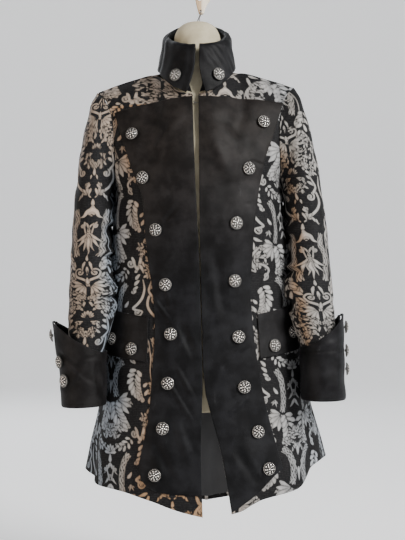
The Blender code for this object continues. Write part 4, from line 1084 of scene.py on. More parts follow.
def draw_side(fig):
    """The chains, scrolls and leaves between the mirror lines."""
    fig.chain([(31, 112), (26, 134), (31, 154), (26, 178), (20, 204)], 5.2, 7)
    fig.stroke([(40, 118), (37, 150), (38, 180), (33, 212)], (2.0, 2.4, 2.2, 1.4))
    fig.fan(26, 212, 55, 150, 6, 19, 6.4, -0.2)
    fig.acanthus([(44, 196), (40, 216), (32, 236), (30, 252)], 15, 5)
    fig.thicket(36, 262, 13, 18, 26, 9, 160, 0.5)
    fig.thicket(32, 306, 14, 16, 30, 8.5, 60, 0.5)
    # long S and its volute
    fig.volute(
        62, 62, 9.2, 255, 1.35, 3.4,
        tail=((50, -2, 2.0), (47, 16, 4.6), (52, 34, 5.6), (62, 46, 5.4), (72, 55, 4.6)),
    )
    fig.acanthus([(58, -26), (55, -8), (60, 12), (70, 24)], 15, 5, one_side=1)
    fig.pointed(50, 78, 60, 20, 7, 0.2)
    fig.pointed(46, 84, 24, 24, 7, -0.2)
    fig.sprig(74, 84, 40, 15)
    fig.thicket(62, 118, 14, 24, 48, 9.5, 10, 0.5)
    fig.volute(48, 134, 8.6, 30, -1.3, 3.2, tail=((62, 96, 2.0), (52, 104, 4.6), (43, 118, 5.4)))
    fig.volute(74, 152, 8.0, 330, 1.3, 3.2, tail=((60, 128, 3.0), (72, 132, 4.8), (81, 142, 5.2)))
    # the upper chain and the big lobed leaf below it
    fig.chain([(88, 6), (98, 22), (103, 44), (104, 66), (100, 88)], 5.6, 7)
    fig.fan(97, 94, -28, 165, 8, 30, 8.6, 0.14)
    fig.acanthus([(106, 92), (112, 108), (112, 128), (104, 146)], 20, 6)
    fig.thicket(116, 140, 12, 18, 26, 9.0, 30, 0.5)
    fig.sprig(84, 64, -10, 15)
    fig.petal(82, 40, 20, 14, 7, 0.3)
    # a feathered leaf, a curl and a sprig in the open ground
    fig.acanthus([(66, 172), (72, 190), (70, 208), (62, 222)], 19, 7)
    fig.volute(56, 232, 6.4, 100, 1.2, 3.0, tail=((66, 222, 3.0), (64, 230, 3.6)))
    fig.sprig(84, 232, 10, 17)
    # the lower chain, the fan leaf and the fringed leaf
    fig.chain([(96, 158), (108, 166), (116, 184), (118, 206), (114, 226)], 5.8, 7)
    fig.fan(112, 234, -34, 160, 8, 34, 9.4, 0.16)
    fig.acanthus([(118, 236), (116, 254), (106, 272), (94, 284)], 21, 7)
    fig.thicket(114, 292, 14, 18, 34, 9.5, 340, 0.4)
    # the heavy scroll that closes the repeat
    fig.volute(
        76, 296, 11.0, 200, 1.3, 4.2,
        tail=((58, 256, 2.4), (52, 270, 5.4), (54, 290, 6.6), (62, 307, 6.2)),
    )
    fig.pointed(56, 300, -40, 18, 7, 0.3)
    fig.acanthus([(84, 306), (92, 316), (102, 322), (114, 322)], 13, 5)
    fig.thicket(50, 268, 7, 12, 12, 8, 330, 0.3)


def draw_far_axis(fig):
    """The motifs on the second mirror line."""
    end = REPEAT_HALF
    fig.fan(end, 6, 180, 160, 7, 17, 6.0)
    fig.petal(end, 8, 0, 15, 8)
    for v, length in ((26, 26), (48, 22), (66, 18)):
        fig.pointed(end - 1, v, -26, length, 6.4, -0.2)
    fig.volute(end - 12, 36, 6.0, 150, -1.15, 2.6, tail=((end - 2, 58, 2.4), (end - 5, 48, 3.2)))
    fig.petal(end, 172, 180, 16, 8)
    fig.volute(end - 11, 186, 5.6, 200, -1.15, 2.6, tail=((end - 2, 206, 2.0), (end - 5, 198, 3.0)))
    fig.pointed(end, 196, 0, 26, 7)
    fig.petal(end, 240, 0, 16, 8)


def damask_figure():
    fig = Figure()
    draw_side(fig)
    draw_far_axis(fig)
    draw_axis(fig)
    return fig.field


def figure_at(field, across, down):
    """The figure at places on the cloth, given in metres from a repeat's corner."""
    a = np.abs((across * 1000 + REPEAT_HALF) % (2 * REPEAT_HALF) - REPEAT_HALF) / CELL + 2
    v = (down * 1000 % REPEAT_DOWN) / CELL
    a0, v0 = np.floor(a).astype(int), np.floor(v).astype(int)
    fa, fv = a - a0, v - v0
    rows, cols = field.shape
    a1, v0, v1 = np.minimum(a0 + 1, cols - 1), v0 % rows, (v0 + 1) % rows
    above = field[v0, a0] * (1 - fa) + field[v0, a1] * fa
    below = field[v1, a0] * (1 - fa) + field[v1, a1] * fa
    return above * (1 - fv) + below * fv


# ---------------------------------------------------------------- creases
Crease = namedtuple("Crease", "x0 z0 x1 z1 width depth")

# By distance from the axis and height on the fronts and backs.
FRONT_CREASES = {
    "right": rows_of(
        Crease,
        (0.0869, -0.650, 0.0590, -0.691, 0.0045, 0.0016),
        (0.0652, -0.631, 0.0583, -0.664, 0.0040, 0.0013),
        (0.0478, -0.782, 0.0184, -0.839, 0.0045, 0.0017),
        (0.0623, -0.814, 0.0197, -0.889, 0.0050, 0.0016),
        (0.0655, -0.4955, 0.0357, -0.4655, 0.0048, -0.0021),
        (0.0650, -0.503, 0.0150, -0.490, 0.0040, -0.0010),
        (0.0538, -0.4206, 0.0362, -0.4095, 0.0042, -0.0017),
        (0.0560, -0.425, 0.0530, -0.448, 0.0040, -0.0010),
        (0.0713, -0.3486, 0.0311, -0.290, 0.0120, 0.0019),
        (0.0400, -0.700, 0.0150, -0.760, 0.0100, -0.0018),
        (0.0500, -0.890, 0.0300, -0.960, 0.0110, 0.0015),
        (0.0900, -0.930, 0.0600, -1.000, 0.0120, -0.0016),
        (0.1500, -0.345, 0.1380, -0.430, 0.0110, -0.0028),
        (0.1420, -0.470, 0.1300, -0.560, 0.0130, -0.0022),
        (0.1640, -0.560, 0.1400, -0.640, 0.0140, -0.0024),
        (0.1900, -0.800, 0.1700, -0.920, 0.0160, 0.0024),
        (0.1450, -0.860, 0.1400, -1.000, 0.0150, -0.0022),
    ),
    "left": rows_of(
        Crease,
        (0.1057, -0.382, 0.1306, -0.3925, 0.0038, -0.0016),
        (0.0899, -0.467, 0.1034, -0.467, 0.0030, -0.0010),
        (0.0250, -0.330, 0.0650, -0.420, 0.0160, 0.0016),
        (0.0500, -0.300, 0.1000, -0.345, 0.0150, -0.0013),
        (0.0300, -0.560, 0.0450, -0.680, 0.0130, -0.0012),
        (0.0400, -0.780, 0.0900, -0.745, 0.0060, -0.0010),
        (0.0500, -0.870, 0.0850, -0.840, 0.0060, 0.0012),
        (0.0600, -0.940, 0.0950, -1.000, 0.0120, -0.0014),
        (0.1480, -0.350, 0.1360, -0.430, 0.0110, -0.0026),
        (0.1620, -0.480, 0.1450, -0.600, 0.0140, -0.0024),
        (0.1400, -0.600, 0.1150, -0.640, 0.0110, -0.0016),
        (0.1950, -0.790, 0.1850, -0.930, 0.0160, 0.0022),
        (0.1550, -0.830, 0.1620, -0.960, 0.0150, -0.0022),
    ),
}
BACK_CREASES = {
    "right": rows_of(
        Crease,
        (0.1450, -0.350, 0.0950, -0.420, 0.0150, -0.0026),
        (0.1500, -0.480, 0.0900, -0.520, 0.0130, -0.0024),
        (0.1350, -0.600, 0.0500, -0.580, 0.0140, -0.0026),
        (0.0600, -0.300, 0.0200, -0.380, 0.0180, -0.0018),
        (0.1650, -0.680, 0.1400, -0.800, 0.0180, 0.0026),
        (0.0900, -0.820, 0.0950, -1.000, 0.0200, -0.0030),
    ),
    "left": rows_of(
        Crease,
        (0.1400, -0.335, 0.0900, -0.400, 0.0150, -0.0024),
        (0.1450, -0.500, 0.0800, -0.550, 0.0140, -0.0026),
        (0.1300, -0.620, 0.0400, -0.605, 0.0140, -0.0022),
        (0.0700, -0.280, 0.0150, -0.350, 0.0170, -0.0018),
        (0.1600, -0.700, 0.1480, -0.830, 0.0180, 0.0024),
        (0.0800, -0.800, 0.0900, -0.980, 0.0200, -0.0028),
    ),
}
# On the sleeves x is round the cloth from the figure's mirror line, towards the body.
SLEEVE_CREASES = {
    "right": rows_of(
        Crease,
        (0.075, -0.345, 0.028, -0.372, 0.011, -0.0030),
        (0.080, -0.415, 0.030, -0.452, 0.012, -0.0032),
        (0.080, -0.492, 0.024, -0.520, 0.013, -0.0036),
        (0.085, -0.548, 0.034, -0.566, 0.010, -0.0030),
        (0.072, -0.625, 0.040, -0.648, 0.011, -0.0022),
        (-0.062, -0.400, -0.020, -0.452, 0.014, -0.0026),
        (-0.060, -0.560, -0.024, -0.590, 0.013, -0.0020),
        (-0.046, -0.690, 0.010, -0.708, 0.010, -0.0018),
        (0.120, -0.505, 0.170, -0.480, 0.014, -0.0036),
        (-0.080, -0.330, -0.120, -0.400, 0.016, -0.0028),
    ),
    "left": rows_of(
        Crease,
        (0.078, -0.352, 0.040, -0.392, 0.011, -0.0030),
        (0.082, -0.440, 0.030, -0.430, 0.011, -0.0034),
        (0.080, -0.505, 0.036, -0.545, 0.012, -0.0034),
        (0.084, -0.590, 0.044, -0.600, 0.010, -0.0026),
        (0.070, -0.665, 0.030, -0.690, 0.011, -0.0022),
        (-0.064, -0.360, -0.024, -0.430, 0.014, -0.0026),
        (-0.058, -0.500, -0.020, -0.548, 0.013, -0.0022),
        (-0.050, -0.660, 0.000, -0.676, 0.011, -0.0016),
        (0.118, -0.470, 0.168, -0.500, 0.014, -0.0036),
        (-0.082, -0.345, -0.122, -0.410, 0.016, -0.0026),
    ),
}
CUFF_CREASES = {
    "right": rows_of(
        Crease,
        (0.2750, -0.745, 0.2150, -0.800, 0.0070, -0.0024),
        (0.2700, -0.815, 0.2250, -0.775, 0.0080, 0.0022),
        (0.2050, -0.765, 0.2000, -0.830, 0.0060, -0.0018),
        (0.2450, -0.760, 0.1950, -0.752, 0.0040, -0.0016),
    ),
    "left": rows_of(
        Crease,
        (0.1850, -0.7555, 0.2850, -0.7525, 0.0024, -0.0022),
        (0.1900, -0.742, 0.2700, -0.738, 0.0070, 0.0018),
        (0.2150, -0.770, 0.2200, -0.830, 0.0120, -0.0014),
        (0.2600, -0.780, 0.2500, -0.845, 0.0110, 0.0014),
    ),
}


# ---------------------------------------------------------------- damask pieces
FINE = 0.0017                       # spacing of points on damask that shows most
COARSE = 0.0024
HIDDEN = 0.0020                     # and under the velvet, which spreads at the shoulder
VELVET_FINE = 0.0035
UNDER_VELVET = (0.45, 0.30)         # columns inside the velvet's edge where the spacing changes
VELVET_TRIM = 0.0030                # the same on flaps and cuffs
DAMASK_ROLL = 0.0009                # radius of a rolled edge
PANEL_ROLL = 0.0011
FLAP_ROLL = 0.0013
CUFF_ROLL = 0.0012
COLLAR_ROLL = {"stand": 0.0008, "fall": 0.0012}
LINING_ROLL = 0.0006
LINING_DEPTH = 0.0022               # how far the lining hangs inside the backs
LINING_LEAST_DEPTH = 0.0012
FLAP_CLEAR = 0.0012                 # how far a flap stands off the velvet's level
FLAP_SINK = 0.0006                  # the most that it follows a trough in the front
CUFF_LIP_DROP = 0.0035              # how far a cuff's lower edge hangs below its rings
SLEEVE_WALL_SHARE = 0.8             # a sleeve's outer face, as a share of its wall
BUTTON_PULL, BUTTON_PULL_REACH = 0.0009, 0.011
ALL_ROUND = ("bottom", "top", "first", "last")
PANEL_SIDES = ("bottom", "last", "top", "first")

# Where the fabric's repeat lies on each piece: shifts across and down.
DAMASK_ON = {
    "front_right": (-0.065, -0.280),
    "front_left": (-0.058, -0.455),
    "back_right": (0.0, -0.330),
    "back_left": (0.0, -0.330),
    "sleeve_right": (0.0, -0.3556),
    "sleeve_left": (0.0, -0.4150),
}
AxisPoint = namedtuple("AxisPoint", "z right left")
SLEEVE_AXIS = rows_of(              # the figure's mirror line down a sleeve's front
    AxisPoint,
    (-0.240, 0.1880, 0.1640),
    (-0.329, 0.1962, 0.1760),
    (-0.392, 0.2038, 0.1860),
    (-0.462, 0.2096, 0.1980),
    (-0.507, 0.2169, 0.2055),
    (-0.566, 0.2222, 0.2144),
    (-0.647, 0.2255, 0.2330),
    (-0.760, 0.2290, 0.2360),
)
# How a piece's cloth is counted as it turns away: flat so far back, then blended.
CHEST_Z, CHEST_FADE = -0.33, 0.09   # above here a front's cloth is placed as it is seen
BODY_FLAT, BODY_BLEND = 0.060, 0.012
SLEEVE_FLAT, SLEEVE_BLEND = 0.034, 0.008
MIRROR_BLEND = 0.004                # by a sleeve's mirror line


def gone_round(behind, flat, blend):
    """Cloth that lies behind the front-most line: hardly counted while it still faces front."""
    return 0.15 * behind + 0.75 * blend * np.logaddexp(0.0, (behind - flat) / blend)


def body_places(points):
    """Across and down a front or back, about as the cloth is seen from that side."""
    x, y, z = np.moveaxis(points, 2, 0)
    order = np.argsort(z[:, 0])
    centre_y = np.interp(z, z[order, 0], y[order, 0])
    behind = np.abs(y - centre_y) * np.clip((CHEST_Z - z) / CHEST_FADE, 0.0, 1.0)
    return np.stack([x + gone_round(behind, BODY_FLAT, BODY_BLEND), -z], -1)


def sleeve_places(side, points, outer, front, inner):
    """The same for a sleeve, from its mirror line; the last three are columns."""
    x, y, z = np.moveaxis(points, 2, 0)

    def level(column, k):
        order = np.argsort(z[:, column])
        return np.interp(z, z[order, column], points[order, column, k])

    heights = [row.z for row in SLEEVE_AXIS][::-1]
    axis_x = np.interp(z, heights, [getattr(row, side) for row in SLEEVE_AXIS][::-1])
    outer_x, inner_x = level(outer, 0), level(inner, 0)
    across = axis_x - x
    column = np.arange(points.shape[1])[None]
    across = np.where(column < outer, axis_x - 2 * outer_x + x, across)
    across = np.where(column > inner, axis_x - 2 * inner_x + x, across)
    behind = np.maximum(y - level(front, 1), 0.0)
    away = gone_round(behind, SLEEVE_FLAT, SLEEVE_BLEND)
    return np.stack([across + np.tanh(across / MIRROR_BLEND) * away, -z], -1)


def cloth_places(points):
    """How far each point is along its row, and down."""
    level = points.copy()
    level[..., 2] = 0.0
    return np.stack([lengths(level, 1), -points[..., 2]], -1)


def add_damask(name, points, out, uv, sign, flip, painted_light, rolls):
    """A damask piece: its outer face, with the figure and a share of painted warm and cool light as values
    at each point.
    """
    shift = DAMASK_ON[name]
    figure = figure_at(DAMASK_FIGURE, uv[..., 0] + shift[0], uv[..., 1] + shift[1])
    values = {"figure": np.clip(figure, -4.0, 4.0), "painted_light": painted_light}
    add_cloth(
        name + "_cloth", name, "damask", points, out, uv, values, sign, flip, rolls,
        DAMASK_ROLL,
    )


def add_velvet(name, node, points, out, uv, painted_light, sign, flip, rolls, radius):
    """A velvet piece.  Its share of painted light is 0 for the velvet's darker painted-shade colour, 1 for
    its lighter, browner painted-lit colour.
    """
    values = {"painted_light": np.broadcast_to(painted_light, points.shape[:2])}
    add_cloth(name, node, "black_velvet", points, out, uv, values, sign, flip, rolls, radius)


def front_swell(side, x, z):
    """The fronts' creases, deeper under the velvet, and low swells."""
    deeper = 1.0 + 0.7 * np.clip((0.115 - x) / 0.02, 0.0, 1.0)
    return deeper * creased(FRONT_CREASES[side], x, z) + ripple("front_" + side, x, z)


def build_front(side, sign, grid):
    """A front, all of it, under its velvet panel too."""
    middle = grid[len(grid) // 2]
    rows = even(grid[:, VELVET_COLUMNS + 3], FINE)
    under = even(middle, HIDDEN, 0.0, VELVET_COLUMNS - UNDER_VELVET[0])
    outer = even(middle, FINE, VELVET_COLUMNS - UNDER_VELVET[1])
    base = refine(grid, rows, np.concatenate([under, outer]))
    out = normals(base, -1.0)
    x, z = base[..., 0], base[..., 2]
    points = base + out * (DAMASK_WALL + front_swell(side, x, z))[..., None]
    # painted light on the figure: on the right front, copper where warm light is painted beside the velvet,
    # fading to blue-grey painted shade by the side seam; on the left front, painted cool shade that is
    # bluer outward
    if side == "right":             # copper beside the velvet, blue by the side seam
        painted_light = 0.95 - 26.0 * (x - x[:, len(under)][:, None])
        painted_light = np.where(z > -0.26, 0.35, painted_light)
    else:
        painted_light = -0.15 - 5.0 * (x - 0.12)
    painted_light = np.clip(painted_light, -1.0, 1.0)
    out = normals(points, -1.0)
    add_damask("front_" + side, points, out, body_places(base), sign, False, painted_light, PANEL_SIDES)


def velvet_swell(side, x, z):
    """Pulls at the buttons, apart from the creases that the front shares."""
    total = ripple("velvet", x, z)
    for row in FRONT_BUTTONS:
        away = np.hypot(x - getattr(row, side + "_x"), z - getattr(row, side + "_z"))
        total = total - BUTTON_PULL * np.exp(-((away / BUTTON_PULL_REACH) ** 2))
    return total


def build_velvet_panel(side, sign, grid):
    rows = even(grid[:, VELVET_COLUMNS // 2], VELVET_FINE, 2, len(grid) - 2)
    cols = even(grid[len(grid) // 2], VELVET_FINE, 0.0, VELVET_COLUMNS)
    base = refine(grid, rows, cols)
    out = normals(base, -1.0)
    x, z = base[..., 0], base[..., 2]
    lift = ON_DAMASK + VELVET_WALL + front_swell(side, x, z) + velvet_swell(side, x, z)
    points = base + out * lift[..., None]
    # painted light: the velvet is painted lighter and browner towards its top, darker below
    painted_lit = np.clip((z + 0.62) / 0.30, 0.0, 1.0)
    add_velvet(
        f"velvet_{side}_cloth", "velvet_panel_" + side, points, normals(points, -1.0),
        cloth_places(points), painted_lit, sign, False, ALL_ROUND, PANEL_ROLL,
    )


def build_fronts():
    for side, sign in SIDES:
        grid = as_array([[coat_point(side, *place) for place in row] for row in front_places(side)])
        build_front(side, sign, grid)
        build_velvet_panel(side, sign, grid)


def build_backs():
    for side, sign in SIDES:
        grid = as_array([[coat_point(side, *place, True) for place in row] for row in back_places()])
        rows = even(grid[:, 4], COARSE)
        cols = even(grid[len(grid) // 2], COARSE)
        base = refine(grid, rows, cols)
        out = normals(base, 1.0)
        x, z = base[..., 0], base[..., 2]
        swell = creased(BACK_CREASES[side], x, z) + ripple("back", x, z)
        points = base + out * (DAMASK_WALL + swell)[..., None]
        points[:, 0, 0] = SEAM_GAP
        out = normals(points, 1.0)
        # painted light: the backs' figure takes a near-neutral share of it
        painted_light = np.full(points.shape[:2], 0.05)
        add_damask("back_" + side, points, out, body_places(base), sign, True, painted_light, PANEL_SIDES)


def build_lining():
    halves = []
    for side, sign in (("left", 1.0), ("right", -1.0)):
        places = [row for row in back_places() if row[0][1] > LINING_FROM]
        places[-1] = [(across, LINING_TO) for across, _ in places[-1]]
        half = as_array([[coat_point(side, *place, True) for place in row] for row in places])
        halves.append(half * (sign, 1.0, 1.0))
    grid = np.concatenate([halves[0][:, ::-1], halves[1][:, 1:]], axis=1)
    rows, cols = even(grid[:, 9], 0.005), even(grid[2], 0.004)
    base = refine(grid, rows, cols)
    inward = -normals(base, -1.0)
    x, z = base[..., 0], base[..., 2]
    depth = LAY_GAP + LINING_DEPTH + ripple("lining_folds", x, 0.25 * z) + ripple("lining_puckers", x, z)
    points = base + inward * np.maximum(depth, LINING_LEAST_DEPTH)[..., None]
    out = normals(points, 1.0)
    add_cloth(
        "lining_cloth", "lining_back", "black_satin", points, out, cloth_places(points), {}, 1.0, True,
        ("bottom", "top"), LINING_ROLL,
    )


SLEEVE_COLUMNS = 32                 # the first and last are at the back seam


def body_reach(side, levels, depths):
    """How far out the body's cloth comes, at each level and depth."""
    rows = [[coat_point(side, *place) for place in row] for row in front_places(side)]
    backs = [[coat_point(side, *place, True) for place in row] for row in back_places()]
    rows = np.concatenate([as_array(rows).reshape(-1, 3), as_array(backs).reshape(-1, 3)])
    found = []
    for level, depth in zip(levels, depths):
        near = rows[(np.abs(rows[:, 2] - level) < 0.022) & (rows[:, 0] > 0.06)]
        near = near[np.argsort(near[:, 1])]
        found.append(np.interp(depth, near[:, 1], near[:, 0]))
    return np.array(found)


LEAN_LEVELS = np.linspace(-0.90, -0.40, 51)
LEAN_MOST = 0.0220                  # the furthest that a point moves
LEAN_POWER = 1.6                    # how fast it dies away towards the sleeve's outer side
LEAN_TOP_Z, LEAN_TOP_FADE = -0.390, 0.03
LEAN_FOOT_Z, LEAN_FOOT_FADE = -0.750, 0.085
LEAN_GAP = 0.0004                   # how far the innermost line goes past touching


def lean_in(side, points):
    """How far to move a sleeve's points towards the body, so that no gap shows from the front.

    Only the innermost line of the sleeve is fitted to the body's face.  The cloth in front of
    that line and behind it moves too, and on the forearm it passes into the body's cloth.
    """
    x, y, z = np.moveaxis(points, 2, 0)
    row = np.arange(len(x))
    innermost = x.argmin(axis=1)
    order = np.argsort(z[row, innermost])
    heights = z[row, innermost][order]
    depths = np.interp(LEAN_LEVELS, heights, y[row, innermost][order])
    reach = body_reach(side, LEAN_LEVELS, depths)
    wanted = np.interp(z, LEAN_LEVELS, reach) + DAMASK_WALL - LEAN_GAP
    inner_x = np.interp(z, heights, x.min(axis=1)[order])
    outer_x = np.interp(z, heights, x.max(axis=1)[order])
    move = np.clip(wanted - inner_x, -LEAN_MOST, 0.0)
    near = np.clip((outer_x - x) / np.maximum(outer_x - inner_x, 0.01), 0.0, 1.0)
    faded = np.clip((LEAN_TOP_Z - z) / LEAN_TOP_FADE, 0.0, 1.0)
    faded *= np.clip((z - LEAN_FOOT_Z) / LEAN_FOOT_FADE, 0.0, 1.0)
    return move * near**LEAN_POWER * faded


def build_sleeves():
    turns = np.linspace(-math.pi / 2, 1.5 * math.pi, SLEEVE_COLUMNS + 1)
    for side, sign in SIDES:
        rows = [[sleeve_loop(turn % (2 * math.pi)) for turn in turns]]
        rows += [[sleeve_ring_point(ring, turn) for turn in turns] for ring in SLEEVE_RINGS]
        grid = as_array(rows)
        padded = np.concatenate([grid[:, -2:-1], grid, grid[:, 1:2]], axis=1)
        quarter = SLEEVE_COLUMNS // 4
        at = even(grid[:, 2 * quarter], FINE)
        ring = grid[5]
        cols = [even(ring, step, *ends)[:-1] for step, *ends in (
            (COARSE, 0.0, quarter), (FINE, quarter, 2 * quarter), (FINE, 2 * quarter, 3 * quarter)
        )]
        outer = len(cols[0])
        front = outer + len(cols[1])
        inner = front + len(cols[2])
        cols = np.concatenate([*cols, even(ring, COARSE, 3 * quarter)])
        base = refine(padded, at, cols + 1)
        out = normals(base)
        uv = sleeve_places(side, base, outer, front, inner)
        swell = creased(SLEEVE_CREASES[side], uv[..., 0], base[..., 2])
        swell = swell + ripple("sleeve_" + side, uv[..., 0], base[..., 2])
        swell *= np.clip((at[:, None] - 0.6) / 1.5, 0.0, 1.0)
        points = base + out * (DAMASK_WALL * SLEEVE_WALL_SHARE + swell)[..., None]
        points[..., 0] += lean_in(side, points)
        out = normals(points)
        turn = turns[0] + cols / SLEEVE_COLUMNS * 2 * math.pi
        # painted light on the figure: the right sleeve is painted warm in front, with a blue-grey painted
        # sheen towards its inner edge; the left sleeve is painted warm on its front towards the body
        if side == "right":
            painted_light = 0.45 - 1.6 * np.clip((turn - math.radians(105)) / math.radians(50), 0.0, 1.0)
        else:
            painted_light = -0.10 + 0.9 * np.exp(-(((turn - math.radians(125)) / 0.35) ** 2))
        painted_light = np.repeat(np.clip(painted_light, -1.0, 1.0)[None], len(at), 0)
        add_damask("sleeve_" + side, points, out, uv, sign, True, painted_light, ("bottom", "top"))


# ---------------------------------------------------------------- velvet pieces
FLAP_COLUMNS, FLAP_ROWS = 8, 5


def build_flaps():
    for side, sign in SIDES:
        grid = as_array([
            [coat_point(side, *flap_place(side, j / FLAP_COLUMNS, i / FLAP_ROWS))
             for j in range(FLAP_COLUMNS + 1)]
            for i in range(FLAP_ROWS + 1)
        ])
        rows, cols = even(grid[:, 4], VELVET_TRIM), even(grid[3], VELVET_TRIM)
        base = refine(grid, rows, cols)
        out = normals(base, -1.0)
        share = (rows / rows[-1])[:, None]
        x, z = base[..., 0], base[..., 2]
        lift = ON_DAMASK + VELVET_WALL + FLAP_CLEAR + FLAP_LIFT * share
        lift = lift + np.maximum(front_swell(side, x, z), -FLAP_SINK) + ripple("flap", x, z)
        points = base + out * lift[..., None]
        out = normals(points, -1.0)
        # painted light: the flap takes a quarter of the velvet's painted lit colour
        add_velvet(
            f"flap_{side}_cloth", "pocket_flap_" + side, points, out, cloth_places(points), 0.25,
            sign, False, ALL_ROUND, FLAP_ROLL,
        )


def build_cuffs():
    heights = np.linspace(1.0, 0.0, 9)
    for side, sign in SIDES:
        rows = [[cuff_point(side, turn, up) for turn in slit_turns(side, up)] for up in heights]
        turned = [cuff_turn_point(turn) for turn in slit_turns(side, 0.0)]
        rows.append([a.lerp(b, 0.5) + Vector((0, 0, -CUFF_LIP_DROP)) for a, b in zip(rows[-1], turned)])
        rows.append(turned)
        grid = as_array(rows)
        at = np.concatenate([even(grid[:, 10], VELVET_TRIM, 0, 8)[:-1], np.linspace(8, 10, 9)])
        cols = even(grid[4], VELVET_TRIM)
        base = refine(grid, at, cols)
        out = normals(base, -1.0)
        uv = cloth_places(base)
        share = np.clip(at / 8, 0, 1)[:, None]
        swell = ripple("cuff_" + side, uv[..., 0], base[..., 2])
        hidden = np.clip(base[..., 1] + 0.085, 0.0, 0.02)
        swell = swell + creased(CUFF_CREASES[side], base[..., 0] + hidden, base[..., 2])
        swell *= np.clip((1.0 - share) * 6, 0, 1) * np.clip(share * 5 + 0.3, 0, 1)
        points = base + out * (VELVET_WALL + swell)[..., None]
        out = normals(points, -1.0)
        # painted light: the right cuff takes half of the velvet's painted lit colour, the left cuff little
        add_velvet(
            f"cuff_{side}_cloth", "cuff_" + side, points, out, uv, 0.1 if side == "left" else 0.5,
            sign, False, ("top", "first", "last"), CUFF_ROLL,
        )


def build_collar():
    stand = as_array(collar_rows(STAND_RINGS, np.linspace(0.92, 0.0, 7)))
    fall = as_array(collar_rows(FALL_RINGS, np.concatenate([[0.0, 0.05], np.linspace(0.12, 1.0, 9)])))
    for name, grid in (("stand", stand), ("fall", fall)):
        if name == "fall":
            inner = grid[0].copy()
            centre = inner.mean(0)
            toward = (centre - inner) * (1.0, 1.0, 0.0)
            toward /= np.linalg.norm(toward, axis=1, keepdims=True)
            up = np.array([0.0, 0.0, 1.0])
            lines = [
                grid[0] + toward * 0.0062 - up * 0.010,
                grid[0] + toward * 0.0055 - up * 0.003,
                grid[0] + toward * 0.0036 + up * 0.0008,
            ]
            grid = np.concatenate([lines, grid])
        rows, cols = even(grid[:, 11], 0.0022), even(grid[len(grid) // 2], 0.0022)
        base = refine(grid, rows, cols)
        out = normals(base, 1.0)
        uv = cloth_places(base)
        share = (rows / rows[-1])[:, None]
        folds = 0.0007 * np.sin(uv[..., 0] * 2 * math.pi / 0.021 + 2.2 * np.sin(uv[..., 0] * 61))
        folds = folds * np.clip(share * 2.2, 0, 1) + ripple("collar", uv[..., 0], base[..., 2])
        points = base + out * (VELVET_WALL + (folds if name == "fall" else 0.3 * folds))[..., None]
        out = normals(points, 1.0)
        free = "bottom" if name == "fall" else "top"
        # painted light: the collar takes a little of the velvet's painted lit colour
        add_velvet(
            f"collar_{name}_cloth", "collar_" + name, points, out, uv, 0.15,
            1.0, True, (free, "first", "last"), COLLAR_ROLL[name],
        )


# ---------------------------------------------------------------- buttons and fastening
BUTTON_RADIUS = 0.0125
BUTTON_RINGS = 26
BUTTON_TURNS = 56
BUTTON_BACK = ((0.0127, 0.0026), (0.0120, 0.0022), (0.0030, 0.0020), (0.0026, 0.0))   # radius, height
BUTTON_BACK_HOLLOW = 0.4
BUTTON_SPIN = 0.7                   # how much each is turned from the one before
BUTTON_LIFT = 0.0002


def button_relief(r, turn):
    """Height of a button's face, and how deep in its hollows a place is.  r is 0 to 1."""
    dome = 0.0030 + 0.0041 * (1.0 - r**2.2)
    boss = np.exp(-((r / 0.14) ** 4))
    petals = np.abs(np.cos(2.5 * turn)) ** 2.0 * np.exp(-(((r - 0.36) / 0.13) ** 4))
    loops = np.abs(np.cos(4.5 * turn + 1.4 * r)) ** 2.4 * np.exp(-(((r - 0.66) / 0.14) ** 4))
    rope = (0.60 + 0.40 * np.cos(24 * turn + 8 * r)) * np.exp(-(((r - 0.92) / 0.055) ** 4))
    raised = np.clip(boss + petals + loops + rope, 0.0, 1.0)
    return dome + 0.0017 * raised, 1.0 - raised


def detailed_button():
    """The shared mesh of every button: a pierced-looking cast dome on a shank."""
    turns = np.linspace(0, 2 * math.pi, BUTTON_TURNS, endpoint=False)
    verts, hollow, faces = [], [], []
    for k in range(1, BUTTON_RINGS + 1):
        r = k / BUTTON_RINGS
        height, depth = button_relief(r, turns)
        for turn, z, d in zip(turns, height, depth):
            reach = BUTTON_RADIUS * r
            verts.append((reach * math.cos(turn), reach * math.sin(turn), z))
            hollow.append(d)
    for radius, z in BUTTON_BACK:
        for turn in turns:
            verts.append((radius * math.cos(turn), radius * math.sin(turn), z))
            hollow.append(BUTTON_BACK_HOLLOW)
    rings = BUTTON_RINGS + len(BUTTON_BACK)
    for i in range(rings - 1):
        for j in range(BUTTON_TURNS):
            k = (j + 1) % BUTTON_TURNS
            a, b = i * BUTTON_TURNS, (i + 1) * BUTTON_TURNS
            faces.append((a + j, b + j, b + k, a + k))
    top, _ = button_relief(0.0, 0.0)
    verts.append((0.0, 0.0, top))
    hollow.append(0.0)
    for j in range(BUTTON_TURNS):
        faces.append((len(verts) - 1, j, (j + 1) % BUTTON_TURNS))
    mesh = bpy.data.meshes.new("button")
    mesh.from_pydata(verts, [], faces)
    mesh.attributes.new("hollow", "FLOAT", "POINT").data.foreach_set("value", hollow)
    mesh.shade_smooth()
    mesh.materials.append(SILVER)
    return mesh


def place_button(name, mesh, place, normal, sign, spin):
    """A button on its place on the cloth, turned about its own axis by spin."""
    place = Vector((sign * place.x, place.y, place.z))
    normal = Vector((sign * normal.x, normal.y, normal.z))
    turned = normal.to_track_quat("Z", "Y").to_matrix().to_4x4()
    button = bpy.data.objects.new(name + "_cast", mesh)
    bpy.context.scene.collection.objects.link(button)
    local = Matrix.Translation(place + normal * BUTTON_LIFT) @ turned @ Matrix.Rotation(spin, 4, "Z")
    button.matrix_world = HANG @ local
    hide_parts(name)
    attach(button, "root")


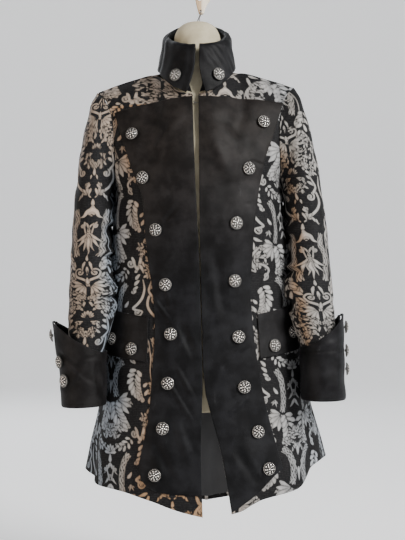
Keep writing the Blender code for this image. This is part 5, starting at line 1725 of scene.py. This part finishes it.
def build_buttons():
    mesh = detailed_button()
    on_velvet = ON_DAMASK + VELVET_WALL
    spin = 0.0
    for side, sign in SIDES:
        for group, rows, lift in (
            ("panel", FRONT_BUTTONS, on_velvet + LAY_GAP),
            ("flap", FLAP_BUTTONS, on_velvet + LAY_GAP + FLAP_LIFT),
        ):
            for number, row in enumerate(rows, 1):
                x, z = getattr(row, side + "_x"), getattr(row, side + "_z")
                across, along = locate(side, x, z)
                swell = float(front_swell(side, np.array([x]), np.array([z]))[0])
                place = coat_out(side, across, along, lift + swell)
                normal = coat_normal(side, across, along)
                spin += BUTTON_SPIN
                place_button(f"button_{group}_{side}_{number}", mesh, place, normal, sign, spin)

        for number, up in enumerate(CUFF_BUTTON_HEIGHTS, 1):
            turn = CUFF_BUTTON_ANGLES[side][number - 1]
            normal = -sheet_normal(lambda a, b: cuff_point(side, a, b), turn, up, 0.02)
            place = cuff_point(side, turn, up) + normal * (VELVET_WALL + 2 * LAY_GAP)
            spin += BUTTON_SPIN
            place_button(f"button_cuff_{side}_{number}", mesh, place, normal, sign, spin)

        def fall(share, name):
            return read(FALL_RINGS, "share", share, name)

        turn = sign * math.asin(COLLAR_BUTTON_X / fall(COLLAR_BUTTON_DOWN, "half_width"))
        normal = sheet_normal(lambda a, b: collar_point(fall, b, a), turn, COLLAR_BUTTON_DOWN, 0.03)
        normal = -normal if normal.y > 0 else normal
        place = collar_point(fall, COLLAR_BUTTON_DOWN, turn) + normal * (VELVET_WALL + 2 * LAY_GAP)
        place_button(f"button_collar_{side}", mesh, place, normal, 1.0, spin)


# ---------------------------------------------------------------- the form
FORM_CREASES = rows_of(
    Crease,                    # on its neck: the turn from the front, and the height
    (-0.60, -0.190, 0.25, -0.128, 0.0085, -0.0016),
    (-0.15, -0.196, 0.75, -0.150, 0.0075, -0.0013),
    (-1.10, -0.176, -0.35, -0.120, 0.0080, -0.0014),
    (0.30, -0.140, 1.30, -0.108, 0.0080, -0.0012),
    (1.50, -0.180, 2.40, -0.130, 0.0085, -0.0013),
    (-2.60, -0.170, -1.80, -0.125, 0.0085, -0.0013),
)


NECK_RADIUS, NECK_MID_Y = 0.048, -0.005
FORM_ROWS = 90                      # rows of points below the neck, and as many on it
LEDGE_SHARES = (0.35, 0.70)         # rings between the shoulders and the neck


def form_grid():
    """The form's rings, from its lower edge to the top of its neck."""
    rings = [form_level(row.z, row.inset) for row in FORM_RINGS]
    rings += [form_upper(rise) for rise in FORM_RISES]
    neck = [neck_ring(row) for row in NECK_RINGS]
    sag = Vector((0.0, 0.0, -SHOULDER_SAG))
    top = len(rings) - 1
    for share in LEDGE_SHARES:
        rings.append([low.lerp(high, share) + sag for low, high in zip(rings[top], neck[0])])
    return as_array(rings + neck)


def form_points():
    """The form's surface as rows of points, all round, with the creases of its neck."""
    grid = form_grid()
    padded = np.concatenate([grid[:, -2:], grid, grid[:, :2]], axis=1)
    wide = grid.shape[1]
    low = len(grid) - len(NECK_RINGS) - 3
    low_rows = np.linspace(0, low, FORM_ROWS)[:-1]
    rows = np.concatenate([low_rows, np.linspace(low, len(grid) - 1, FORM_ROWS)])
    cols = np.linspace(0, wide, 4 * wide + 1)[:-1]
    points = refine(padded, rows, cols + 2)
    away = points - np.array([NECK_SHIFT, NECK_MID_Y, 0.0])
    turn = np.arctan2(away[..., 0], -away[..., 1])
    radius = np.maximum(np.hypot(away[..., 0], away[..., 1]), 1e-6)
    swell = 0.0
    for row in FORM_CREASES:
        scaled = row._replace(x0=row.x0 * NECK_RADIUS, x1=row.x1 * NECK_RADIUS)
        swell = swell + creased([scaled], turn * NECK_RADIUS, points[..., 2])
    swell = swell * np.clip((points[..., 2] + 0.215) / 0.02, 0, 1)
    points[..., 0] += swell * away[..., 0] / radius
    points[..., 1] += swell * away[..., 1] / radius
    return points


def form_mesh(points):
    """The rows of points joined to one closed mesh."""
    rows, columns = points.shape[:2]
    verts = hang(points.reshape(-1, 3)).tolist()
    faces = []
    for i in range(rows - 1):
        for j in range(columns):
            k = (j + 1) % columns
            faces.append((i * columns + j, i * columns + k, (i + 1) * columns + k, (i + 1) * columns + j))
    for first, lift in ((0, 0.0), ((rows - 1) * columns, 0.0008)):
        middle = np.mean(np.array(verts[first:first + columns]), axis=0)
        middle[2] += lift
        verts.append(middle.tolist())
        for j in range(columns):
            k = (j + 1) % columns
            ends = (first + k, first + j) if first == 0 else (first + j, first + k)
            faces.append((len(verts) - 1, *ends))
    mesh = bpy.data.meshes.new("dress_form_cloth")
    mesh.from_pydata(verts, [], faces)
    mesh.materials.append(FORM_CLOTH)
    return mesh


def cut_hole(form, foot):
    """Cuts a hole for a foot of the hanging wire."""
    bpy.ops.mesh.primitive_cylinder_add(
        vertices=20, radius=WIRE_HOLE_RADIUS, depth=2 * WIRE_HOLE_DEPTH,
        location=foot + Vector((0.0, 0.0, 0.001)),
    )
    tool = bpy.context.object
    # the cutter carries the near-black painted shade for the hole's inside
    tool.data.materials.append(HOLE_SHADE)
    hole = form.modifiers.new("hole", "BOOLEAN")
    hole.operation, hole.object, hole.solver = "DIFFERENCE", tool, "EXACT"
    bpy.context.view_layer.update()
    made = bpy.data.meshes.new_from_object(
        form.evaluated_get(bpy.context.evaluated_depsgraph_get())
    )
    form.modifiers.clear()
    form.data = made
    bpy.data.objects.remove(tool, do_unlink=True)


def build_form():
    form = bpy.data.objects.new("dress_form_cloth", form_mesh(form_points()))
    bpy.context.scene.collection.objects.link(form)
    for foot in WIRE_FEET:
        cut_hole(form, foot)
    form.data.shade_smooth()
    form.data.set_sharp_from_angle(angle=math.radians(50))
    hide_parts("dress_form")
    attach(form, "root")


# ---------------------------------------------------------------- materials
class Nodes:
    """A material under construction."""

    def __init__(self, name):
        self.material = bpy.data.materials.new(name)
        self.material.use_nodes = True
        self.tree = self.material.node_tree
        self.shader = self.tree.nodes["Principled BSDF"]

    def add(self, kind, links=None, **values):
        """A node.  links gives its inputs, by name or number, as sockets or numbers."""
        node = self.tree.nodes.new(kind)
        for key, value in values.items():
            setattr(node, key, value)
        for key, value in (links or {}).items():
            if isinstance(value, bpy.types.NodeSocket):
                self.tree.links.new(value, node.inputs[key])
            else:
                node.inputs[key].default_value = value
        return node

    def attribute(self, name):
        return self.add("ShaderNodeAttribute", attribute_name=name).outputs["Fac"]

    def span(self, value, low, high, to_low=0.0, to_high=1.0, smooth=True):
        kind = "SMOOTHSTEP" if smooth else "LINEAR"
        node = self.add("ShaderNodeMapRange", {0: value, 1: low, 2: high, 3: to_low, 4: to_high},
                        interpolation_type=kind)
        return node.outputs[0]

    def math(self, operation, a, b=0.0):
        return self.add("ShaderNodeMath", {0: a, 1: b}, operation=operation).outputs[0]

    def mix(self, share, a, b, blend="MIX"):
        node = self.add("ShaderNodeMix", data_type="RGBA", blend_type=blend)
        for socket, value in ((node.inputs[0], share), (node.inputs[6], a), (node.inputs[7], b)):
            if isinstance(value, bpy.types.NodeSocket):
                self.tree.links.new(value, socket)
            elif isinstance(value, tuple):
                socket.default_value = (*value, 1.0)
            else:
                socket.default_value = value
        return node.outputs[2]

    def noise(self, scale, detail=3.0, rough=0.55, place=None):
        links = {"Scale": scale, "Detail": detail, "Roughness": rough}
        if place is not None:
            links["Vector"] = place
        return self.add("ShaderNodeTexNoise", links).outputs["Fac"]

    def place(self):
        return self.add("ShaderNodeTexCoord").outputs["Object"]

    def cloth(self, across=1.0, down=1.0):
        """The place on the cloth, in metres, stretched."""
        uv = self.add("ShaderNodeUVMap", uv_map="cloth").outputs["UV"]
        return self.add("ShaderNodeMapping", {"Vector": uv, "Scale": (across, down, 1.0)}).outputs[0]

    def wave(self, place, scale, direction, distortion=0.0):
        return self.add(
            "ShaderNodeTexWave",
            {"Vector": place, "Scale": scale, "Distortion": distortion, "Detail": 1.0},
            wave_type="BANDS", bands_direction=direction,
        ).outputs["Fac"]

    def bump(self, height, distance, strength=1.0):
        node = self.add("ShaderNodeBump", {"Height": height, "Distance": distance, "Strength": strength})
        self.tree.links.new(node.outputs[0], self.shader.inputs["Normal"])

    def set(self, **values):
        for key, value in values.items():
            socket = self.shader.inputs[key.replace("_", " ")]
            if isinstance(value, bpy.types.NodeSocket):
                self.tree.links.new(value, socket)
            elif isinstance(value, tuple):
                socket.default_value = (*value, 1.0)
            else:
                socket.default_value = value
        return self.material


def damask_material():
    n = Nodes("damask")
    figure, painted_light = n.attribute("figure"), n.attribute("painted_light")
    place = n.place()
    inside = n.span(figure, -0.40, 0.30)
    # black ground with a fine crosswise rib
    uneven = n.noise(260.0, 4.0, 0.6, place)
    rib = n.wave(n.cloth(), 95.0, "Y", 1.6)
    rib = n.math("MULTIPLY", rib, n.span(uneven, 0.35, 0.65))
    ground = n.mix(rib, (0.0035, 0.0035, 0.0040), (0.0150, 0.0147, 0.0150))
    # silver figure in colours of painted light, copper for painted warm light and blue-grey for painted
    # shade and sheen; darker at its outlines, partly the weave's own shading and partly painted shade that
    # makes each shape look raised; shaded like satin stitch across each shape
    silver = n.mix(n.span(painted_light, 0.0, 1.0, smooth=False), (0.33, 0.31, 0.285), (0.34, 0.215, 0.125))
    silver = n.mix(n.span(painted_light, 0.0, -1.0, smooth=False), silver, (0.26, 0.295, 0.34))
    body = n.span(figure, 0.1, 2.4, 0.62, 1.0)
    threads = n.noise(900.0, 2.0, 0.7, place)
    body = n.math("MULTIPLY", body, n.span(threads, 0.25, 0.75, 0.72, 1.12, False))
    cloud = n.noise(55.0, 4.0, 0.65, place)
    body = n.math("MULTIPLY", body, n.span(cloud, 0.30, 0.70, 0.70, 1.10, False))
    shade = n.add("ShaderNodeCombineColor", {0: body, 1: body, 2: body}).outputs[0]
    silver = n.mix(1.0, silver, shade, "MULTIPLY")
    colour = n.mix(inside, ground, silver)
    n.bump(n.math("ADD", n.math("MULTIPLY", inside, 0.6), n.math("MULTIPLY", threads, 0.4)), 0.0004, 0.7)
    return n.set(
        Base_Color=colour,
        Roughness=n.span(inside, 0.0, 1.0, 0.72, 0.50),
        Specular_IOR_Level=0.12,
    )


def velvet_material():
    n = Nodes("black_velvet")
    place, painted_light = n.place(), n.attribute("painted_light")
    # the pile's mottling, painted as lighter and darker patches of sheen
    nap_sheen = n.span(n.noise(30.0, 5.0, 0.62, place), 0.36, 0.68)
    pile = n.noise(620.0, 2.0, 0.6, place)
    # painted light: a darker, bluer painted-shade colour and a lighter, browner painted-lit colour, blended
    # by the share of painted light
    painted_shaded = n.mix(nap_sheen, (0.0012, 0.0013, 0.0017), (0.0072, 0.0075, 0.0088))
    painted_lit = n.mix(nap_sheen, (0.0042, 0.0034, 0.0030), (0.0135, 0.0114, 0.0104))
    colour = n.mix(painted_light, painted_shaded, painted_lit)
    # painted sheen: lighter streaks where the pile is crushed
    streaks = n.add("ShaderNodeMapping", {"Vector": place, "Rotation": (0.0, 0.5, 0.0),
                                          "Scale": (1.0, 1.0, 0.35)}).outputs[0]
    crushed_sheen = n.span(n.noise(70.0, 6.0, 0.7, streaks), 0.62, 0.80, 0.0, 0.55)
    colour = n.mix(crushed_sheen, colour, (0.040, 0.040, 0.043))
    lint = n.span(n.noise(1400.0, 1.0, 0.5, place), 0.75, 0.80, 0.0, 0.30)
    colour = n.mix(lint, colour, (0.09, 0.085, 0.08))
    n.bump(pile, 0.0006, 0.6)
    return n.set(
        Base_Color=colour, Roughness=0.55, Sheen_Weight=0.018, Sheen_Roughness=0.35,
        Sheen_Tint=(0.72, 0.76, 0.84), Specular_IOR_Level=0.10,
    )


def satin_material():
    n = Nodes("black_satin")
    place = n.place()
    colour = n.mix(n.noise(20.0, 3.0, 0.5, place), (0.006, 0.0063, 0.0072), (0.016, 0.0165, 0.0185))
    n.bump(n.wave(n.cloth(), 400.0, "DIAGONAL", 0.5), 0.0002, 0.25)
    return n.set(Base_Color=colour, Roughness=0.36, Specular_IOR_Level=0.30)


def silver_material():
    n = Nodes("antique_silver")
    hollow = n.attribute("hollow")
    place = n.place()
    spots = n.noise(500.0, 3.0, 0.6, place)
    bright = n.mix(n.span(spots, 0.35, 0.7), (0.92, 0.89, 0.84), (0.50, 0.47, 0.43))
    colour = n.mix(n.span(hollow, 0.15, 0.60), bright, (0.006, 0.0055, 0.005))
    n.bump(spots, 0.0002, 0.4)
    return n.set(
        Base_Color=colour, Metallic=n.span(hollow, 0.15, 0.60, 1.0, 0.2),
        Roughness=n.span(hollow, 0.05, 0.5, 0.20, 0.75),
    )


def steel_material():
    n = Nodes("steel_wire")
    worn = n.noise(900.0, 3.0, 0.6, n.place())
    colour = n.mix(n.span(worn, 0.3, 0.7), (0.10, 0.10, 0.10), (0.22, 0.215, 0.21))
    n.bump(worn, 0.0001, 0.4)
    return n.set(Base_Color=colour, Metallic=1.0, Roughness=n.span(worn, 0.3, 0.7, 0.35, 0.55))


def form_material():
    n = Nodes("form_cloth")
    place = n.place()
    stains = n.noise(26.0, 4.0, 0.6, place)
    colour = n.mix(n.span(stains, 0.3, 0.7), (0.43, 0.385, 0.275), (0.335, 0.295, 0.20))
    weave = n.math(
        "MULTIPLY", n.wave(place, 420.0, "X", 0.4), n.wave(place, 420.0, "Z", 0.4)
    )
    n.bump(weave, 0.0002, 0.5)
    return n.set(Base_Color=colour, Roughness=0.80, Sheen_Weight=0.1, Specular_IOR_Level=0.25)


def hole_shade_material():
    # painted shade: the inside of a wire hole, coloured near-black
    n = Nodes("hole_painted_shade")
    colour = n.mix(n.noise(300.0, 2.0, 0.5, n.place()), (0.012, 0.011, 0.009), (0.03, 0.026, 0.02))
    return n.set(Base_Color=colour, Roughness=0.9)


def wood_material():
    n = Nodes("pale_wood")
    place = n.place()
    stretched = n.add("ShaderNodeMapping", {"Vector": place, "Scale": (1.0, 1.0, 0.12)}).outputs[0]
    grain = n.noise(420.0, 5.0, 0.6, stretched)
    rings = n.wave(stretched, 60.0, "X", 5.0)
    across = n.add("ShaderNodeSeparateXYZ", {0: place}).outputs[0]
    # darker tan towards the hook's -X side, cream towards +X
    side = n.span(across, -0.001, 0.004)
    tan = n.mix(n.span(grain, 0.3, 0.7), (0.47, 0.34, 0.21), (0.33, 0.225, 0.13))
    cream = n.mix(n.span(grain, 0.3, 0.7), (0.78, 0.71, 0.60), (0.66, 0.58, 0.46))
    colour = n.mix(n.math("MULTIPLY", side, n.span(rings, 0.0, 1.0, 0.85, 1.0)), tan, cream)
    n.bump(grain, 0.0003, 0.4)
    return n.set(Base_Color=colour, Roughness=n.span(grain, 0.3, 0.7, 0.45, 0.62))


def stage_material():
    n = Nodes("pale_stage")
    colour = n.mix(n.noise(1.2, 2.0, 0.5, n.place()), (0.74, 0.74, 0.745), (0.79, 0.79, 0.795))
    # the stage glows: painted light, brighter behind the coat, at +Y, than in front of it
    behind = n.add("ShaderNodeSeparateXYZ", {0: n.place()}).outputs[1]
    return n.set(
        Base_Color=colour, Roughness=0.9, Emission_Color=(0.96, 0.98, 1.0),
        Emission_Strength=n.span(behind, -1.5, 1.5, 0.05, 0.46),
    )


# ---------------------------------------------------------------- stage, light and camera
FLOOR_Z = -1.30
FLOOR_FLAT = 4.5                    # radius of its flat part
WALL_CURVE = 3.0                    # radius of the curve up into the wall
WALL_TOP = 6.0
STAGE_TURNS = 96


def build_stage():
    """A pale floor that curves up into a pale wall all round, well clear of every view."""
    profile = [(0.0, FLOOR_Z), (2.0, FLOOR_Z), (FLOOR_FLAT, FLOOR_Z)]
    profile += [
        (FLOOR_FLAT + WALL_CURVE * math.sin(a), FLOOR_Z + WALL_CURVE * (1 - math.cos(a)))
        for a in np.radians(np.linspace(6, 90, 15))
    ]
    profile.append((FLOOR_FLAT + WALL_CURVE, WALL_TOP))
    count = STAGE_TURNS
    verts = [
        (r * math.sin(2 * math.pi * k / count), r * math.cos(2 * math.pi * k / count), z)
        for r, z in profile for k in range(count)
    ]
    faces = [
        (i * count + k, i * count + (k + 1) % count, (i + 1) * count + (k + 1) % count, (i + 1) * count + k)
        for i in range(len(profile) - 1) for k in range(count)
    ]
    mesh = bpy.data.meshes.new("floor")
    mesh.from_pydata(verts, [], faces)
    mesh.shade_smooth()
    mesh.materials.append(stage_material())
    floor = bpy.data.objects.new("floor", mesh)
    bpy.context.scene.collection.objects.link(floor)


Lamp = namedtuple("Lamp", "name place wide high power colour")
LAMPS = rows_of(
    Lamp,
    ("window", (2.1, -2.0, 0.9), 0.9, 1.3, 215.0, (1.0, 0.99, 0.97)),
    ("left_fill", (-2.3, -1.7, -0.2), 1.0, 1.8, 34.0, (1.0, 0.80, 0.62)),
    ("back_fill", (-1.2, 3.0, 1.2), 2.5, 2.5, 70.0, (0.93, 0.96, 1.0)),
)
LAMPS_AIM = Vector((0.0, 0.0, -0.6))
SKY, SKY_STRENGTH = (0.80, 0.83, 0.88, 1.0), 0.25


def build_lights():
    for row in LAMPS:
        light = bpy.data.lights.new(row.name, "AREA")
        light.shape, light.size, light.size_y = "RECTANGLE", row.wide, row.high
        light.energy, light.color = row.power, row.colour
        lamp = bpy.data.objects.new(row.name, light)
        bpy.context.scene.collection.objects.link(lamp)
        lamp.location = row.place
        lamp.rotation_euler = (LAMPS_AIM - Vector(row.place)).to_track_quat("-Z", "Y").to_euler()
    world = bpy.data.worlds.new("studio")
    bpy.context.scene.world = world
    world.use_nodes = True
    background = world.node_tree.nodes["Background"]
    background.inputs["Color"].default_value = SKY
    background.inputs["Strength"].default_value = SKY_STRENGTH


CAMERA_PLACE = (0.003, -2.30, -0.592)
SENSOR = 36.0
VIEW_HALF_WIDTH, VIEW_DISTANCE = 0.5265, 2.2     # half of what is seen, this far from the camera


def build_camera():
    data = bpy.data.cameras.new("camera")
    data.sensor_width = SENSOR
    data.lens = SENSOR / 2 * VIEW_DISTANCE / VIEW_HALF_WIDTH
    camera = bpy.data.objects.new("camera", data)
    bpy.context.scene.collection.objects.link(camera)
    camera.location = CAMERA_PLACE
    camera.rotation_euler = (math.pi / 2, 0.0, 0.0)
    bpy.context.scene.camera = camera


# ---------------------------------------------------------------- everything
CLOTHS = {
    "damask": damask_material(),
    "black_velvet": velvet_material(),
    "black_satin": satin_material(),
}
SILVER = silver_material()
STEEL = steel_material()
FORM_CLOTH = form_material()
HOLE_SHADE = hole_shade_material()
WOOD = wood_material()
DAMASK_FIGURE = damask_figure()

build_fronts()
build_backs()
build_lining()
build_sleeves()
build_flaps()
build_cuffs()
build_collar()
build_buttons()
build_form()
for node, finish in (
    ("neck_eye", STEEL), ("neck_hook", STEEL), ("hanging_wire", STEEL), ("wooden_hook", WOOD)
):
    frame["nodes"][node].data.materials.clear()
    frame["nodes"][node].data.materials.append(finish)
for node in ("neck_eye", "neck_hook", "hanging_wire"):
    frame["nodes"][node].data.shade_smooth()

build_stage()
build_lights()
build_camera()
